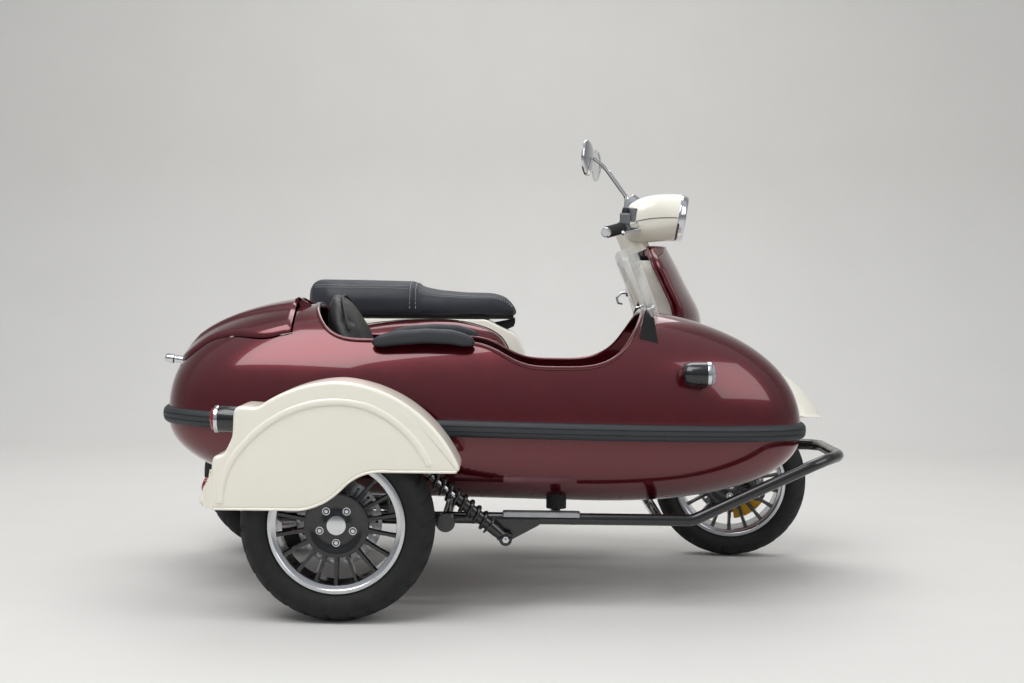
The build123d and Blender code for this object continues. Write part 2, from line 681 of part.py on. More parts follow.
def damper(low, high, y, body_r, coil_r, wire_r, turns):
    """Sprung damper between two eyes in a plane of constant Y: rod, body, seats and a stack of coil rings."""
    start = Vector(low[0], y, low[1])
    reach = Vector(high[0], y, high[1]) - start
    along = reach.normalized()
    length = reach.length
    with BuildPart() as unit:
        with BuildSketch(Plane(origin=start, z_dir=along)):
            Circle(body_r)
        extrude(amount=length)
        for share in (0.18, 0.86):
            with BuildSketch(Plane(origin=start + along * (length * share), z_dir=along)):
                Circle(coil_r + wire_r)
            extrude(amount=4.0)
        for turn in range(turns):
            height = length * (0.24 + 0.58 * turn / (turns - 1))
            with BuildSketch(Plane(origin=start + along * height, z_dir=along)):
                Circle(coil_r + wire_r - 1.0)
            extrude(amount=wire_r * 1.2)
        for eye in (start, start + reach):
            with BuildSketch(Plane(origin=eye - Vector(0, EYE_HALF, 0), z_dir=(0, 1, 0))):
                Circle(body_r + 4.0)
            extrude(amount=2 * EYE_HALF)
    return unit


sidecar_shock = damper(SHOCK_LOW, SHOCK_HIGH, SHOCK_Y, 12.5, 20.0, 5.0, 8)

# Step plate, rubber mounts and the struts that tie the sidecar frame to the scooter
with BuildPart() as step_plate:
    with BuildSketch(Plane.XY.offset(FRAME_Z + FRAME_TUBE_R + SEAT_GAP)):
        with Locations((780.0, near_y - 4.0)):
            RectangleRounded(196.0, 46.0, 8.0)
    extrude(amount=4.0)
    fillet(step_plate.edges().group_by(Axis.Z)[-1], 1.5)
save(step_plate, "step_plate")

with BuildPart() as tub_mounts:
    for mount_x in (MOUNT_REAR_X, MOUNT_FRONT_X):
        for mount_y in (TUB_Y - MOUNT_OUT, TUB_Y + MOUNT_OUT):
            with BuildSketch(Plane.XY.offset(FRAME_Z + CROSS_R + SEAT_GAP)):
                with Locations((mount_x, mount_y)):
                    Circle(26.0)
            extrude(amount=90.0)
    add(hull_skin.part, mode=Mode.SUBTRACT)
save(tub_mounts, "tub_mounts")

RAIL_Y = 78.0
RAIL_Z = 262.0
RAIL_R = 14.0
SEAT_TUBE_X = -60.0
SEAT_TUBE_Z = 615.0
with BuildPart() as link_struts:
    for strut_x in (380.0, 980.0):
        bar(((strut_x, far_y + FRAME_TUBE_R + SEAT_GAP, FRAME_Z), (strut_x, -RAIL_Y - RAIL_R - SEAT_GAP, RAIL_Z)), 13.0)
save(link_struts, "link_struts")

# Scooter frame: head tube, down tube and two floor rails
with BuildPart() as scooter_frame:
    bar(((steer_x(HEAD_LOW), 0.0, HEAD_LOW), (steer_x(HEAD_HIGH), 0.0, HEAD_HIGH)), HEAD_TUBE_R)
    for side in (-1, 1):
        bar(
            (
                (steer_x(HEAD_LOW) - 8.0, side * 14.0, HEAD_LOW + 60.0),
                (1108.0, side * 45.0, 440.0),
                (1040.0, side * RAIL_Y, RAIL_Z),
                (470.0, side * RAIL_Y, RAIL_Z),
                (330.0, side * 110.0, 420.0),
                (-110.0, side * 110.0, 640.0),
            ),
            RAIL_R,
            60.0,
        )
    for cross_x in (560.0, 940.0):
        bar(((cross_x, -RAIL_Y, RAIL_Z), (cross_x, RAIL_Y, RAIL_Z)), RAIL_R - 1.0)
    bar(((SEAT_TUBE_X, -110.0, SEAT_TUBE_Z), (SEAT_TUBE_X, 110.0, SEAT_TUBE_Z)), CROSS_R)
    with BuildSketch(Plane(origin=STEER_AXIS.position + STEER_AXIS.direction * (HEAD_LOW / cos(radians(RAKE)) - 20.0),
                           z_dir=STEER_AXIS.direction)):
        Circle(STEERER_R + RUNNING_GAP)
    extrude(amount=420.0, mode=Mode.SUBTRACT)
save(scooter_frame, "scooter_frame")

# Floorboard
FLOOR_T = 24.0
FLOOR_LOW = RAIL_Z + RAIL_R + SEAT_GAP
FLOOR_TOP = FLOOR_LOW + FLOOR_T
with BuildPart() as floorboard:
    with BuildSketch(Plane.XY.offset(FLOOR_LOW)):
        with Locations((835.0, 0.0)):
            RectangleRounded(470.0, 2 * 184.0, 24.0)
    extrude(amount=FLOOR_T)
    fillet(floorboard.edges().group_by(Axis.Z)[-1], 5.0)
    with BuildSketch(Plane.XY.offset(FLOOR_LOW)):
        with Locations((1035.0, -RAIL_Y), (1035.0, RAIL_Y)):
            Rectangle(90.0, 52.0)
    extrude(amount=FLOOR_T, mode=Mode.SUBTRACT)
save(floorboard, "floorboard")

# Leg shield: height, X at the middle, X at the edge and half width of each section
SHIELD_SECTIONS = (
    (FLOOR_TOP + SEAT_GAP, 1062.0, 1052.0, 180.0),
    (400.0, 1082.0, 1062.0, 192.0),
    (480.0, 1122.0, 1082.0, 202.0),
    (560.0, 1192.0, 1114.0, 210.0),
    (640.0, 1262.0, 1158.0, 216.0),
    (727.0, 1272.0, 1196.0, 215.0),
    (830.0, 1222.0, 1160.0, 208.0),
    (900.0, 1186.0, 1128.0, 182.0),
    (936.0, 1166.0, 1116.0, 128.0),
)


def shield_face(z, middle_x, edge_x, half, depth):
    with BuildSketch(Plane.XY.offset(z)) as section:
        with BuildLine():
            ThreePointArc((edge_x, -half), (middle_x, 0.0), (edge_x, half))
            Polyline((edge_x, half), (edge_x - depth, half), (edge_x - depth, -half), (edge_x, -half))
        make_face()
    return section.sketch.face()


with BuildPart() as shield_block:
    loft([shield_face(*row, 260.0) for row in SHIELD_SECTIONS])

with BuildPart() as leg_shield:
    add(shield_block.part)
    add(shield_block.part.moved(Location((-SHIELD_T, 0, 0))), mode=Mode.SUBTRACT)
    with BuildSketch(Plane(origin=(steer_x(400.0), 0, 400.0), z_dir=STEER_AXIS.direction)):
        Circle(HEAD_TUBE_R + 8.0)
    extrude(amount=560.0, mode=Mode.SUBTRACT)
    add(scooter_frame.part, mode=Mode.SUBTRACT)
save(leg_shield, "leg_shield")

# Inner panel behind the shield, which covers the steering column
# Height, X at the edge, half width and X at the middle of each section
INNER_SECTIONS = (
    (662.0, 1145.0, 150.0, 1096.0),
    (727.0, 1166.0, 154.0, 1072.0),
    (830.0, 1130.0, 148.0, 1042.0),
    (880.0, 1104.0, 128.0, 1037.0),
    (897.0, 1096.0, 108.0, 1035.0),
)


def inner_face(z, edge_x, half, middle_x):
    with BuildSketch(Plane.XY.offset(z)) as section:
        with BuildLine():
            ThreePointArc((edge_x, -half), (middle_x, 0.0), (edge_x, half))
            Polyline((edge_x, half), (1290.0, half), (1290.0, -half), (edge_x, -half))
        make_face()
    return section.sketch.face()


with BuildPart() as inner_panel:
    loft([inner_face(*row) for row in INNER_SECTIONS])
    add(shield_block.part.moved(Location((-SHIELD_T - SEAT_GAP, 0, 0))), mode=Mode.INTERSECT)
    with BuildSketch(Plane(origin=(steer_x(500.0), 0, 500.0), z_dir=STEER_AXIS.direction)):
        Circle(HEAD_TUBE_R + SEAT_GAP)
    extrude(amount=560.0, mode=Mode.SUBTRACT)
save(inner_panel, "inner_panel")

# Front mudguard, fixed to the shield: an arch turned about the wheel, open below and cut off at the column
GUARD_CENTRE = (1325.0, 250.0)
GUARD_TOP_R = 366.0
GUARD_HALF = 118.0
FRONT_GUARD_LOW = 437.0


def guard_arch(inset):
    """Section of the front mudguard across the wheel: straight sides, round shoulders and a low crown."""
    half = GUARD_HALF - inset
    top = GUARD_TOP_R - inset
    with BuildSketch(Plane(origin=(GUARD_CENTRE[0], 0, GUARD_CENTRE[1]), x_dir=(1, 0, 0), z_dir=(0, 0, 1))) as arch:
        with BuildLine():
            Polyline((80.0, half), (top - 70.0, half))
            ThreePointArc((top - 70.0, half), (top - 19.0, 0.72 * half), (top, 0.0))
            ThreePointArc((top, 0.0), (top - 19.0, -0.72 * half), (top - 70.0, -half))
            Polyline((top - 70.0, -half), (80.0, -half), (80.0, half))
        make_face()
    return arch.sketch


GUARD_AXIS = Axis((GUARD_CENTRE[0], 0, GUARD_CENTRE[1]), (0, 1, 0))
with BuildPart() as front_mudguard:
    revolve(guard_arch(0.0), axis=GUARD_AXIS)
    revolve(guard_arch(4.0), axis=GUARD_AXIS, mode=Mode.SUBTRACT)
    with BuildSketch(Plane.XY.offset(FRONT_GUARD_LOW)):
        with Locations((1350.0, 0.0)):
            Rectangle(558.0, 400.0)
    extrude(amount=300.0, mode=Mode.INTERSECT)
    add(shield_block.part, mode=Mode.SUBTRACT)
    with BuildSketch(Plane(origin=(steer_x(400.0), 0, 400.0), z_dir=STEER_AXIS.direction)):
        Circle(HEAD_TUBE_R + 10.0)
    extrude(amount=360.0, mode=Mode.SUBTRACT)
save(front_mudguard, "front_mudguard")

# Rear body: the cream shell under the seat, open to the seat above and to the wheel below
BODY_HALF = 138.0
BODY_TOP = 716.0
BODY_FRONT = ((660.0, FLOOR_TOP + SEAT_GAP), (700.0, 380.0), (738.0, 500.0), (746.0, 600.0))


def body_outline(inset):
    """Side outline of the rear body: riser, shoulder below the seat, tail and the arch over the wheel."""
    front = [(x - inset, z) for x, z in BODY_FRONT]
    with BuildSketch(Plane.XZ) as outline:
        with BuildLine():
            Line((front[0][0], front[0][1] - (60.0 if inset else 0.0)), front[1])
            Line(front[1], front[2])
            Line(front[2], front[3])
            ThreePointArc(front[3], (712.0 - 0.8 * inset, 672.0 - 0.4 * inset), (622.0 - 0.5 * inset, BODY_TOP - inset))
            if inset:
                Polyline((622.0 - 0.5 * inset, BODY_TOP - inset), (622.0 - 0.5 * inset, 780.0), (-60.0, 780.0), (-60.0, BODY_TOP))
            else:
                Line((622.0, BODY_TOP), (-60.0, BODY_TOP))
            ThreePointArc((-60.0, BODY_TOP), (-186.0 + inset, 660.0), (-232.0 + inset, 540.0))
            Line((-232.0 + inset, 540.0), (-226.0 + inset, 462.0 - (60.0 if inset else 0.0)))
            Line((-226.0 + inset, 462.0 - (60.0 if inset else 0.0)), (300.0, 400.0 - (90.0 if inset else 0.0)))
            Line((300.0, 400.0 - (90.0 if inset else 0.0)), (front[0][0] - (20.0 if inset else 120.0), front[0][1] - (60.0 if inset else 0.0)))
            Line((front[0][0] - (20.0 if inset else 120.0), front[0][1] - (60.0 if inset else 0.0)), (front[0][0], front[0][1] - (60.0 if inset else 0.0)))
        make_face()
    return outline.sketch


with BuildPart() as body_loaf:
    extrude(body_outline(0.0), amount=BODY_HALF, both=True)

with BuildPart() as rear_body:
    add(body_loaf.part)
    extrude(body_outline(PANEL_T), amount=BODY_HALF - PANEL_T, both=True, mode=Mode.SUBTRACT)
    with BuildSketch(Plane.XY.offset(688.0)):
        with Locations((680.0, 0.0)):
            Rectangle(110.0, 88.0)
    extrude(amount=80.0, mode=Mode.SUBTRACT)
    with BuildSketch(Plane.XY.offset(650.0)):
        with Locations((668.0, 0.0)):
            Rectangle(76.0, 88.0)
    extrude(amount=80.0, mode=Mode.SUBTRACT)
save(rear_body, "rear_body")

# Side panels: bulged covers on both flanks of the rear body
PANEL_LOW = 345.0
PANEL_BULGE = 82.0


PANEL_MID = (240.0, 545.0)
# Distance out from the body in shares of the bulge, and size of the outline there
PANEL_LAYERS = ((0.0, 1.0), (0.45, 0.965), (0.8, 0.86), (1.0, 0.7))
PANEL_ARCS = (
    (702.0, 560.0),
    (668.0, 664.0),
    (560.0, 708.0),
    (420.0, 713.0),
    (267.0, 698.0),
    (-20.0, 648.0),
    (-205.0, 505.0),
    (-208.0, 460.0),
    (-170.0, 432.0),
    (60.0, 380.0),
    (300.0, PANEL_LOW + 8.0),
    (560.0, PANEL_LOW + 20.0),
    (675.0, 440.0),
)


def panel_face(y, size):
    """Outline of a side panel at distance y from the centre plane, shrunk towards its middle."""
    points = [
        (PANEL_MID[0] + (x - PANEL_MID[0]) * size, PANEL_MID[1] + (z - PANEL_MID[1]) * size)
        for x, z in PANEL_ARCS
    ]
    with BuildSketch(Plane.XZ.offset(-y)) as outline:
        with BuildLine():
            arc_chain(points)
            Line(points[-1], points[0])
        make_face()
    return outline.sketch.face()


with BuildPart() as side_panels:
    for side in (-1, 1):
        loft([panel_face(side * (BODY_HALF + SEAT_GAP + out * PANEL_BULGE), size) for out, size in PANEL_LAYERS])
save(side_panels, "side_panels")

# Bucket under the seat, with the ears of the seat hinge at its front
BUCKET_HALF = 116.0
BUCKET_FRONT = 630.0
BUCKET_REAR = 310.0
BUCKET_LOW = 475.0
BUCKET_TOP = BODY_TOP - 22.0
HINGE_X = 700.0
HINGE_Z = 706.0
PIN_R = 5.0
with BuildPart() as bucket:
    with BuildSketch(Plane.XY.offset(BUCKET_LOW)):
        with Locations(((BUCKET_FRONT + BUCKET_REAR) / 2, 0.0)):
            RectangleRounded(BUCKET_FRONT - BUCKET_REAR, 2 * BUCKET_HALF, 40.0)
    extrude(amount=BUCKET_TOP - BUCKET_LOW)
    with BuildSketch(Plane.XY.offset(BUCKET_TOP - PANEL_T)):
        with Locations(((BUCKET_FRONT + BUCKET_REAR) / 2, 0.0)):
            RectangleRounded(BUCKET_FRONT - BUCKET_REAR, 2 * (BODY_HALF - PANEL_T - SEAT_GAP), 30.0)
    extrude(amount=PANEL_T)
    with BuildSketch(Plane.XY.offset(BUCKET_LOW + PANEL_T)):
        with Locations(((BUCKET_FRONT + BUCKET_REAR) / 2, 0.0)):
            RectangleRounded(BUCKET_FRONT - BUCKET_REAR - 2 * PANEL_T, 2 * (BUCKET_HALF - PANEL_T), 36.0)
    extrude(amount=BODY_TOP - BUCKET_LOW, mode=Mode.SUBTRACT)
    for side in (-1, 1):
        with BuildSketch(Plane.XZ.offset(-side * 34.0)):
            with BuildLine():
                FilletPolyline(
                    (BUCKET_FRONT - 3.0, 660.0),
                    (BUCKET_FRONT - 3.0, 700.0),
                    (HINGE_X - 8.0, HINGE_Z + 8.0),
                    (HINGE_X + 7.5, HINGE_Z + 8.0),
                    (HINGE_X + 6.0, HINGE_Z - 12.0),
                    radius=4.0,
                    close=True,
                )
            make_face()
        extrude(amount=3.0, both=True)
    with BuildSketch(Plane.XZ):
        with Locations((HINGE_X, HINGE_Z)):
            Circle(PIN_R + RUNNING_GAP)
    extrude(amount=60.0, both=True, mode=Mode.SUBTRACT)
save(bucket, "under_seat_bucket")

# Saddle on its pan, hinged at the nose
PAN_LOW = BODY_TOP + SEAT_GAP
PAN_T = 10.0
with BuildPart() as seat_pan:
    with BuildSketch(Plane.XY.offset(PAN_LOW)):
        with BuildLine():
            Polyline((110.0, 120.0), (400.0, 132.0), (600.0, 100.0), (704.0, 56.0))
            Polyline((704.0, 56.0), (704.0, -56.0), (600.0, -100.0), (400.0, -132.0), (110.0, -120.0), (110.0, 120.0))
        make_face()
    extrude(amount=PAN_T)
    with BuildSketch(Plane.XZ.offset(-30.0)):
        with Locations((HINGE_X, HINGE_Z)):
            Circle(PIN_R + 4.0)
        with Locations((HINGE_X, HINGE_Z + 8.0)):
            Rectangle(2 * PIN_R + 8.0, 10.0)
    extrude(amount=60.0)
    with BuildSketch(Plane.XZ.offset(-38.0)):
        with Locations((HINGE_X, HINGE_Z)):
            Circle(PIN_R)
    extrude(amount=76.0)
save(seat_pan, "seat_pan")

with BuildPart() as seat_cushion:
    with BuildSketch(Plane.XZ):
        with BuildLine():
            Line((92.0, PAN_LOW + PAN_T + SEAT_GAP), (86.0, 796.0))
            ThreePointArc((86.0, 796.0), (94.0, 820.0), (118.0, 828.0))
            Line((118.0, 828.0), (388.0, 825.0))
            ThreePointArc((388.0, 825.0), (412.0, 820.0), (432.0, 808.0))
            ThreePointArc((432.0, 808.0), (530.0, 792.0), (640.0, 794.0))
            ThreePointArc((640.0, 794.0), (690.0, 778.0), (720.0, PAN_LOW + PAN_T + 8.0))
            Line((720.0, PAN_LOW + PAN_T + 8.0), (716.0, PAN_LOW + PAN_T + SEAT_GAP))
            Line((716.0, PAN_LOW + PAN_T + SEAT_GAP), (92.0, PAN_LOW + PAN_T + SEAT_GAP))
        make_face()
    extrude(amount=170.0, both=True)
    with BuildSketch(Plane.XY.offset(600.0)):
        with BuildLine():
            ThreePointArc((86.0, 0.0), (100.0, 110.0), (150.0, 142.0))
            ThreePointArc((150.0, 142.0), (400.0, 150.0), (600.0, 118.0))
            ThreePointArc((600.0, 118.0), (690.0, 84.0), (721.0, 0.0))
            ThreePointArc((721.0, 0.0), (690.0, -84.0), (600.0, -118.0))
            ThreePointArc((600.0, -118.0), (400.0, -150.0), (150.0, -142.0))
            ThreePointArc((150.0, -142.0), (100.0, -110.0), (86.0, 0.0))
        make_face()
    extrude(amount=400.0, mode=Mode.INTERSECT)
save(seat_cushion, "seat_cushion")

# Engine block with its drive case, exhaust and rear damper
ENGINE_HALF = 58.0
ENGINE_BAR_X = 510.0
RAIL_IN = RAIL_Y - RAIL_R - SEAT_GAP
STAND_X = 330.0
STAND_Z = 150.0
STAND_R = 11.0
with BuildPart() as engine_block:
    with BuildSketch(Plane.XZ):
        with BuildLine():
            FilletPolyline((264.0, 172.0), (430.0, 172.0), (446.0, 300.0), (380.0, 330.0), (264.0, 310.0), radius=14.0, close=True)
        make_face()
    extrude(amount=ENGINE_HALF, both=True)
    for side in (-1, 1):
        with BuildSketch(Plane.XZ.offset(-side * 46.0)):
            with BuildLine():
                FilletPolyline((296.0, 190.0), (364.0, 190.0), (344.0, 130.0), (316.0, 130.0), radius=10.0, close=True)
            make_face()
        extrude(amount=6.0, both=True)
    with BuildSketch(Plane.XZ):
        with Locations((STAND_X, STAND_Z)):
            Circle(STAND_R + RUNNING_GAP)
    extrude(amount=70.0, both=True, mode=Mode.SUBTRACT)
    bar(((ENGINE_BAR_X, -RAIL_IN, RAIL_Z), (ENGINE_BAR_X, RAIL_IN, RAIL_Z)), 12.0)
    bar(((430.0, 0.0, RAIL_Z), (ENGINE_BAR_X, 0.0, RAIL_Z)), 18.0)


CASE_IN_Y = 72.0
CASE_OUT_Y = 150.0
with BuildPart() as drive_case:
    with BuildSketch(Plane.XZ.offset(-CASE_IN_Y)):
        with Locations((0.0, REAR_TYRE_R)):
            Circle(64.0)
        with Locations((300.0, 250.0)):
            Circle(80.0)
        with BuildLine():
            Polyline((0.0, REAR_TYRE_R + 60.0), (300.0, 328.0), (300.0, 172.0), (0.0, REAR_TYRE_R - 60.0), close=True)
        make_face()
    extrude(amount=CASE_IN_Y - CASE_OUT_Y)
    fillet(drive_case.faces().sort_by(Axis.Y)[-1].edges(), 8.0)
    bar(((320.0, CASE_IN_Y, 250.0), (320.0, ENGINE_HALF + SEAT_GAP, 250.0)), 48.0)
    bar(((0.0, CASE_IN_Y, REAR_TYRE_R), (0.0, RIM_HALF + 1.0, REAR_TYRE_R)), 20.0)
    bar(((0.0, CASE_IN_Y, REAR_TYRE_R), (0.0, RIM_HALF - BLIND_BORE + AXLE_END_GAP, REAR_TYRE_R)), AXLE_R)

with BuildPart() as engine:
    add(engine_block.part)
    add(drive_case.part)
save(engine, "engine")

with BuildPart() as exhaust:
    bar(((-150.0, -126.0, 222.0), (205.0, -126.0, 222.0)), 48.0)
    fillet(exhaust.edges().filter_by(GeomType.CIRCLE), 14.0)
    bar(((-190.0, -140.0, 222.0), (-150.0, -136.0, 222.0)), 14.0)
    bar(((204.0, -126.0, 222.0), (345.0, -126.0, 222.0), (345.0, -ENGINE_HALF - SEAT_GAP, 222.0)), 14.0, 30.0)
save(exhaust, "exhaust")

rear_shock = damper((-12.0, 316.8), (-30.0, 565.0), 105.0, 13.0, 20.0, 4.5, 8)
with BuildPart() as dampers:
    add(sidecar_shock.part)
    add(rear_shock.part)
save(dampers, "dampers")

# Rear mudguard with the number plate's bracket
MUD_R = 262.0
MUD_T = 4.0
MUD_HALF = 74.0
PLATE_X = -318.0
PLATE_Z = 420.0
PLATE_HOLE_R = 3.0
PLATE_HOLE_Y = 50.0
with BuildPart() as rear_mudguard:
    with BuildSketch(wheel_plane(0.0, 0.0, REAR_TYRE_R)):
        with Locations((MUD_R + MUD_T / 2, 0.0)):
            Rectangle(MUD_T, 2 * MUD_HALF)
    revolve(axis=axle_axis(0.0, 0.0, REAR_TYRE_R), revolution_arc=-180.0)
    with BuildSketch(Plane.XY.offset(300.0)):
        with Locations((-60.0, 0.0)):
            Rectangle(460.0, 4 * MUD_HALF)
    extrude(amount=300.0, mode=Mode.INTERSECT)
    with BuildSketch(Plane.YZ.offset(PLATE_X)):
        with Locations((0.0, PLATE_Z)):
            RectangleRounded(140.0, 90.0, 6.0)
            with Locations((-PLATE_HOLE_Y, 0.0), (PLATE_HOLE_Y, 0.0)):
                Circle(PLATE_HOLE_R, mode=Mode.SUBTRACT)
    extrude(amount=4.0)
    with BuildSketch(Plane.YZ.offset(PLATE_X + 3.0)):
        with Locations((0.0, PLATE_Z)):
            Rectangle(50.0, 30.0)
    extrude(amount=110.0)
    with BuildSketch(wheel_plane(0.0, 0.0, REAR_TYRE_R)):
        with Locations((MUD_R / 2, 0.0)):
            Rectangle(MUD_R, 2 * MUD_HALF)
    revolve(axis=axle_axis(0.0, 0.0, REAR_TYRE_R), mode=Mode.SUBTRACT)
    for side in (-1, 1):
        bar(((SEAT_TUBE_X, side * 60.0, 495.0), (SEAT_TUBE_X, side * 60.0, SEAT_TUBE_Z - CROSS_R - SEAT_GAP)), 6.0)
save(rear_mudguard, "rear_mudguard")

with BuildPart() as tail_lamp:
    with BuildSketch(Plane.YZ.offset(-272.0)):
        with Locations((0.0, 560.0)):
            RectangleRounded(96.0, 64.0, 20.0)
    extrude(amount=60.0)
    fillet(tail_lamp.faces().sort_by(Axis.X)[0].edges(), 10.0)
    add(body_loaf.part, mode=Mode.SUBTRACT)
save(tail_lamp, "tail_lamp")

# Centre stand, folded back under the engine
STAND_LENGTH = 134.0
STAND_HALF = 92.0
with BuildPart() as centre_stand:
    bar(((STAND_X, -STAND_HALF, STAND_Z), (STAND_X, STAND_HALF, STAND_Z)), STAND_R)
    for side in (-1, 1):
        bar(((STAND_X, side * STAND_HALF, STAND_Z), (STAND_X - STAND_LENGTH, side * STAND_HALF, STAND_Z)), 10.0)
        bar(
            (
                (STAND_X - STAND_LENGTH, side * (STAND_HALF - 22.0), STAND_Z),
                (STAND_X - STAND_LENGTH, side * (STAND_HALF + 22.0), STAND_Z),
            ),
            STAND_R,
        )
save(centre_stand, "centre_stand")

# Lamps of the sidecar: one against the tub's flank, one on the mudguard's tail
LAMP_R = 32.0
FLANK_LAMP_Y = -747.0
FLANK_LAMP_Z = 596.0
TAIL_LAMP_Y = -950.0
TAIL_LAMP_Z = 486.0
with BuildPart() as sidecar_lamps:
    with BuildSketch(Plane.YZ.offset(1140.0)):
        with Locations((FLANK_LAMP_Y, FLANK_LAMP_Z)):
            Circle(LAMP_R)
    extrude(amount=82.0)
    fillet(sidecar_lamps.faces().sort_by(Axis.X)[-1].edges(), 8.0)
    add(tub_skin.part, mode=Mode.SUBTRACT)
    with BuildSketch(Plane.YZ.offset(37.0 - SEAT_GAP)):
        with Locations((TAIL_LAMP_Y, TAIL_LAMP_Z)):
            Circle(LAMP_R)
    extrude(amount=-66.0)
    fillet(sidecar_lamps.faces().sort_by(Axis.X)[0].edges(), 8.0)
save(sidecar_lamps, "sidecar_lamps")

# Steered group. Fork: column, crown, two legs, links and the front axle
LEG_Y = 84.0
LEG_R = 13.0
CROWN_Z = 492.0
STEERER_LENGTH = 500.0
LINK_PIVOT = (1452.0, 206.0)


def on_axis(z, back=0.0):
    """Plane square to the steering axis at height z, its first axis pointing forward."""
    return Plane(
        origin=(steer_x(z) - back, 0, z),
        x_dir=(cos(radians(RAKE)), 0, sin(radians(RAKE))),
        z_dir=STEER_AXIS.direction,
    )


with BuildPart() as fork:
    with BuildSketch(on_axis(CROWN_Z)):
        Circle(STEERER_R)
    extrude(amount=STEERER_LENGTH)
    with BuildSketch(on_axis(CROWN_Z)):
        RectangleRounded(56.0, 2 * (LEG_Y + LEG_R), 12.0)
    extrude(amount=24.0)
    for side in (-1, 1):
        leg_y = side * LEG_Y
        bar(((steer_x(CROWN_Z) + 4.0, leg_y, CROWN_Z + 6.0), (LINK_PIVOT[0], leg_y, LINK_PIVOT[1])), LEG_R)
        bar(((LINK_PIVOT[0], leg_y - 12.0, LINK_PIVOT[1]), (LINK_PIVOT[0], leg_y + 12.0, LINK_PIVOT[1])), 22.0)
        bar(((LINK_PIVOT[0], leg_y, LINK_PIVOT[1]), (WHEELBASE, leg_y, FRONT_TYRE_R)), 10.0)
        bar(((WHEELBASE, leg_y - 12.0, FRONT_TYRE_R), (WHEELBASE, leg_y + 12.0, FRONT_TYRE_R)), 20.0)
        bar(((WHEELBASE, side * (RIM_HALF + 12.0), FRONT_TYRE_R), (WHEELBASE, leg_y, FRONT_TYRE_R)), 16.0)
    bar(((WHEELBASE, -LEG_Y, FRONT_TYRE_R), (WHEELBASE, LEG_Y, FRONT_TYRE_R)), AXLE_R)
save(fork, "fork", steered=True)

# Headset: the housing round the handlebar, from the rider's side forward to the round headlamp
LAMP_PITCH = 9.0
HEADLAMP_R = 68.0
LAMP_X = 1194.0
LAMP_Z = 1029.0
LAMP_SEAT = 6.5
NECK_Z = 922.0
NECK_R = 42.0
BAR_R = 11.0
BAR_IN = (1080.0, 48.0, 1008.0)
BAR_BEND = (1046.0, 210.0, 1000.0)
BAR_END = (992.0, 345.0, 984.0)
# X and height of each section's middle, its half width and half height, its power and its pitch
HEADSET_SECTIONS = (
    (1036.0, 1003.0, 44.0, 34.0, 2.4, 0.0),
    (1048.0, 1010.0, 68.0, 52.0, 2.6, 0.0),
    (1078.0, 1018.0, 80.0, 67.0, 2.8, 2.0),
    (1120.0, 1026.0, 82.0, 72.0, 2.8, 5.0),
    (1162.0, 1029.0, 77.0, 73.0, 2.4, LAMP_PITCH),
    (LAMP_X + LAMP_SEAT, LAMP_Z, HEADLAMP_R + 4.0, HEADLAMP_R + 4.0, 2.0, LAMP_PITCH),
)
lamp_plane = Plane(
    origin=(LAMP_X, 0, LAMP_Z),
    x_dir=(0, 1, 0),
    z_dir=(cos(radians(LAMP_PITCH)), 0, -sin(radians(LAMP_PITCH))),
)


def headset_face(x, z, half, tall, power, pitch):
    """Section of the headset: a superellipse of arcs on a plane that leans with the lamp."""
    quarter = [squircle(half, tall, power, turn) for turn in (0.0, 22.5, 45.0, 67.5, 90.0)]
    ring = quarter + [(-across, up) for across, up in reversed(quarter[:-1])]
    ring = ring + [(across, -up) for across, up in reversed(ring[:-1])]
    leaning = Plane(origin=(x, 0, z), x_dir=(0, 1, 0), z_dir=(cos(radians(pitch)), 0, -sin(radians(pitch))))
    with BuildSketch(leaning) as section:
        with BuildLine():
            arc_chain(ring)
        make_face()
    return section.sketch.face()


def bar_route(side):
    """Corners of one half of the handlebar, from inside the headset to its end."""
    return tuple((x, side * y, z) for x, y, z in (BAR_IN, BAR_BEND, BAR_END))


with BuildPart() as headset:
    loft([headset_face(*row) for row in HEADSET_SECTIONS])
    with BuildSketch(on_axis(NECK_Z)):
        Circle(NECK_R)
    extrude(amount=90.0)
    with BuildSketch(on_axis(CROWN_Z)):
        Circle(STEERER_R + SEAT_GAP)
    extrude(amount=STEERER_LENGTH + SEAT_GAP, mode=Mode.SUBTRACT)
    for side in (-1, 1):
        bar(bar_route(side), BAR_R + SEAT_GAP, 60.0, mode=Mode.SUBTRACT)
save(headset, "headset", steered=True)

with BuildPart() as headlamp_rim:
    with BuildSketch(lamp_plane.offset(LAMP_SEAT + SEAT_GAP)):
        Circle(HEADLAMP_R)
        Circle(HEADLAMP_R - 9.0, mode=Mode.SUBTRACT)
    extrude(amount=22.0)
    fillet(headlamp_rim.faces().sort_by(Axis.X)[-1].edges(), 3.0)
save(headlamp_rim, "headlamp_rim", steered=True)

with BuildPart() as headlamp_lens:
    with BuildSketch(lamp_plane.offset(LAMP_SEAT + SEAT_GAP)):
        Circle(HEADLAMP_R - 9.0 - SEAT_GAP)
    extrude(amount=24.0)
    fillet(headlamp_lens.faces().sort_by(Axis.X)[-1].edges(), 9.0)
save(headlamp_lens, "headlamp_lens", steered=True)

with BuildPart() as instrument:
    with BuildSketch(Plane(origin=(1072.0, 0, 1050.0), x_dir=(0, 1, 0), z_dir=(-0.86, 0, 0.51))):
        Circle(40.0)
    extrude(amount=36.0)
    add(headset.part, mode=Mode.SUBTRACT)
save(instrument, "instrument", steered=True)

# Handlebar halves, grips, levers with their perches, and mirrors, the same on both sides
GRIP_R = 17.0
with BuildPart() as handlebar:
    for side in (-1, 1):
        bar(bar_route(side), BAR_R, 60.0)
save(handlebar, "handlebar", steered=True)


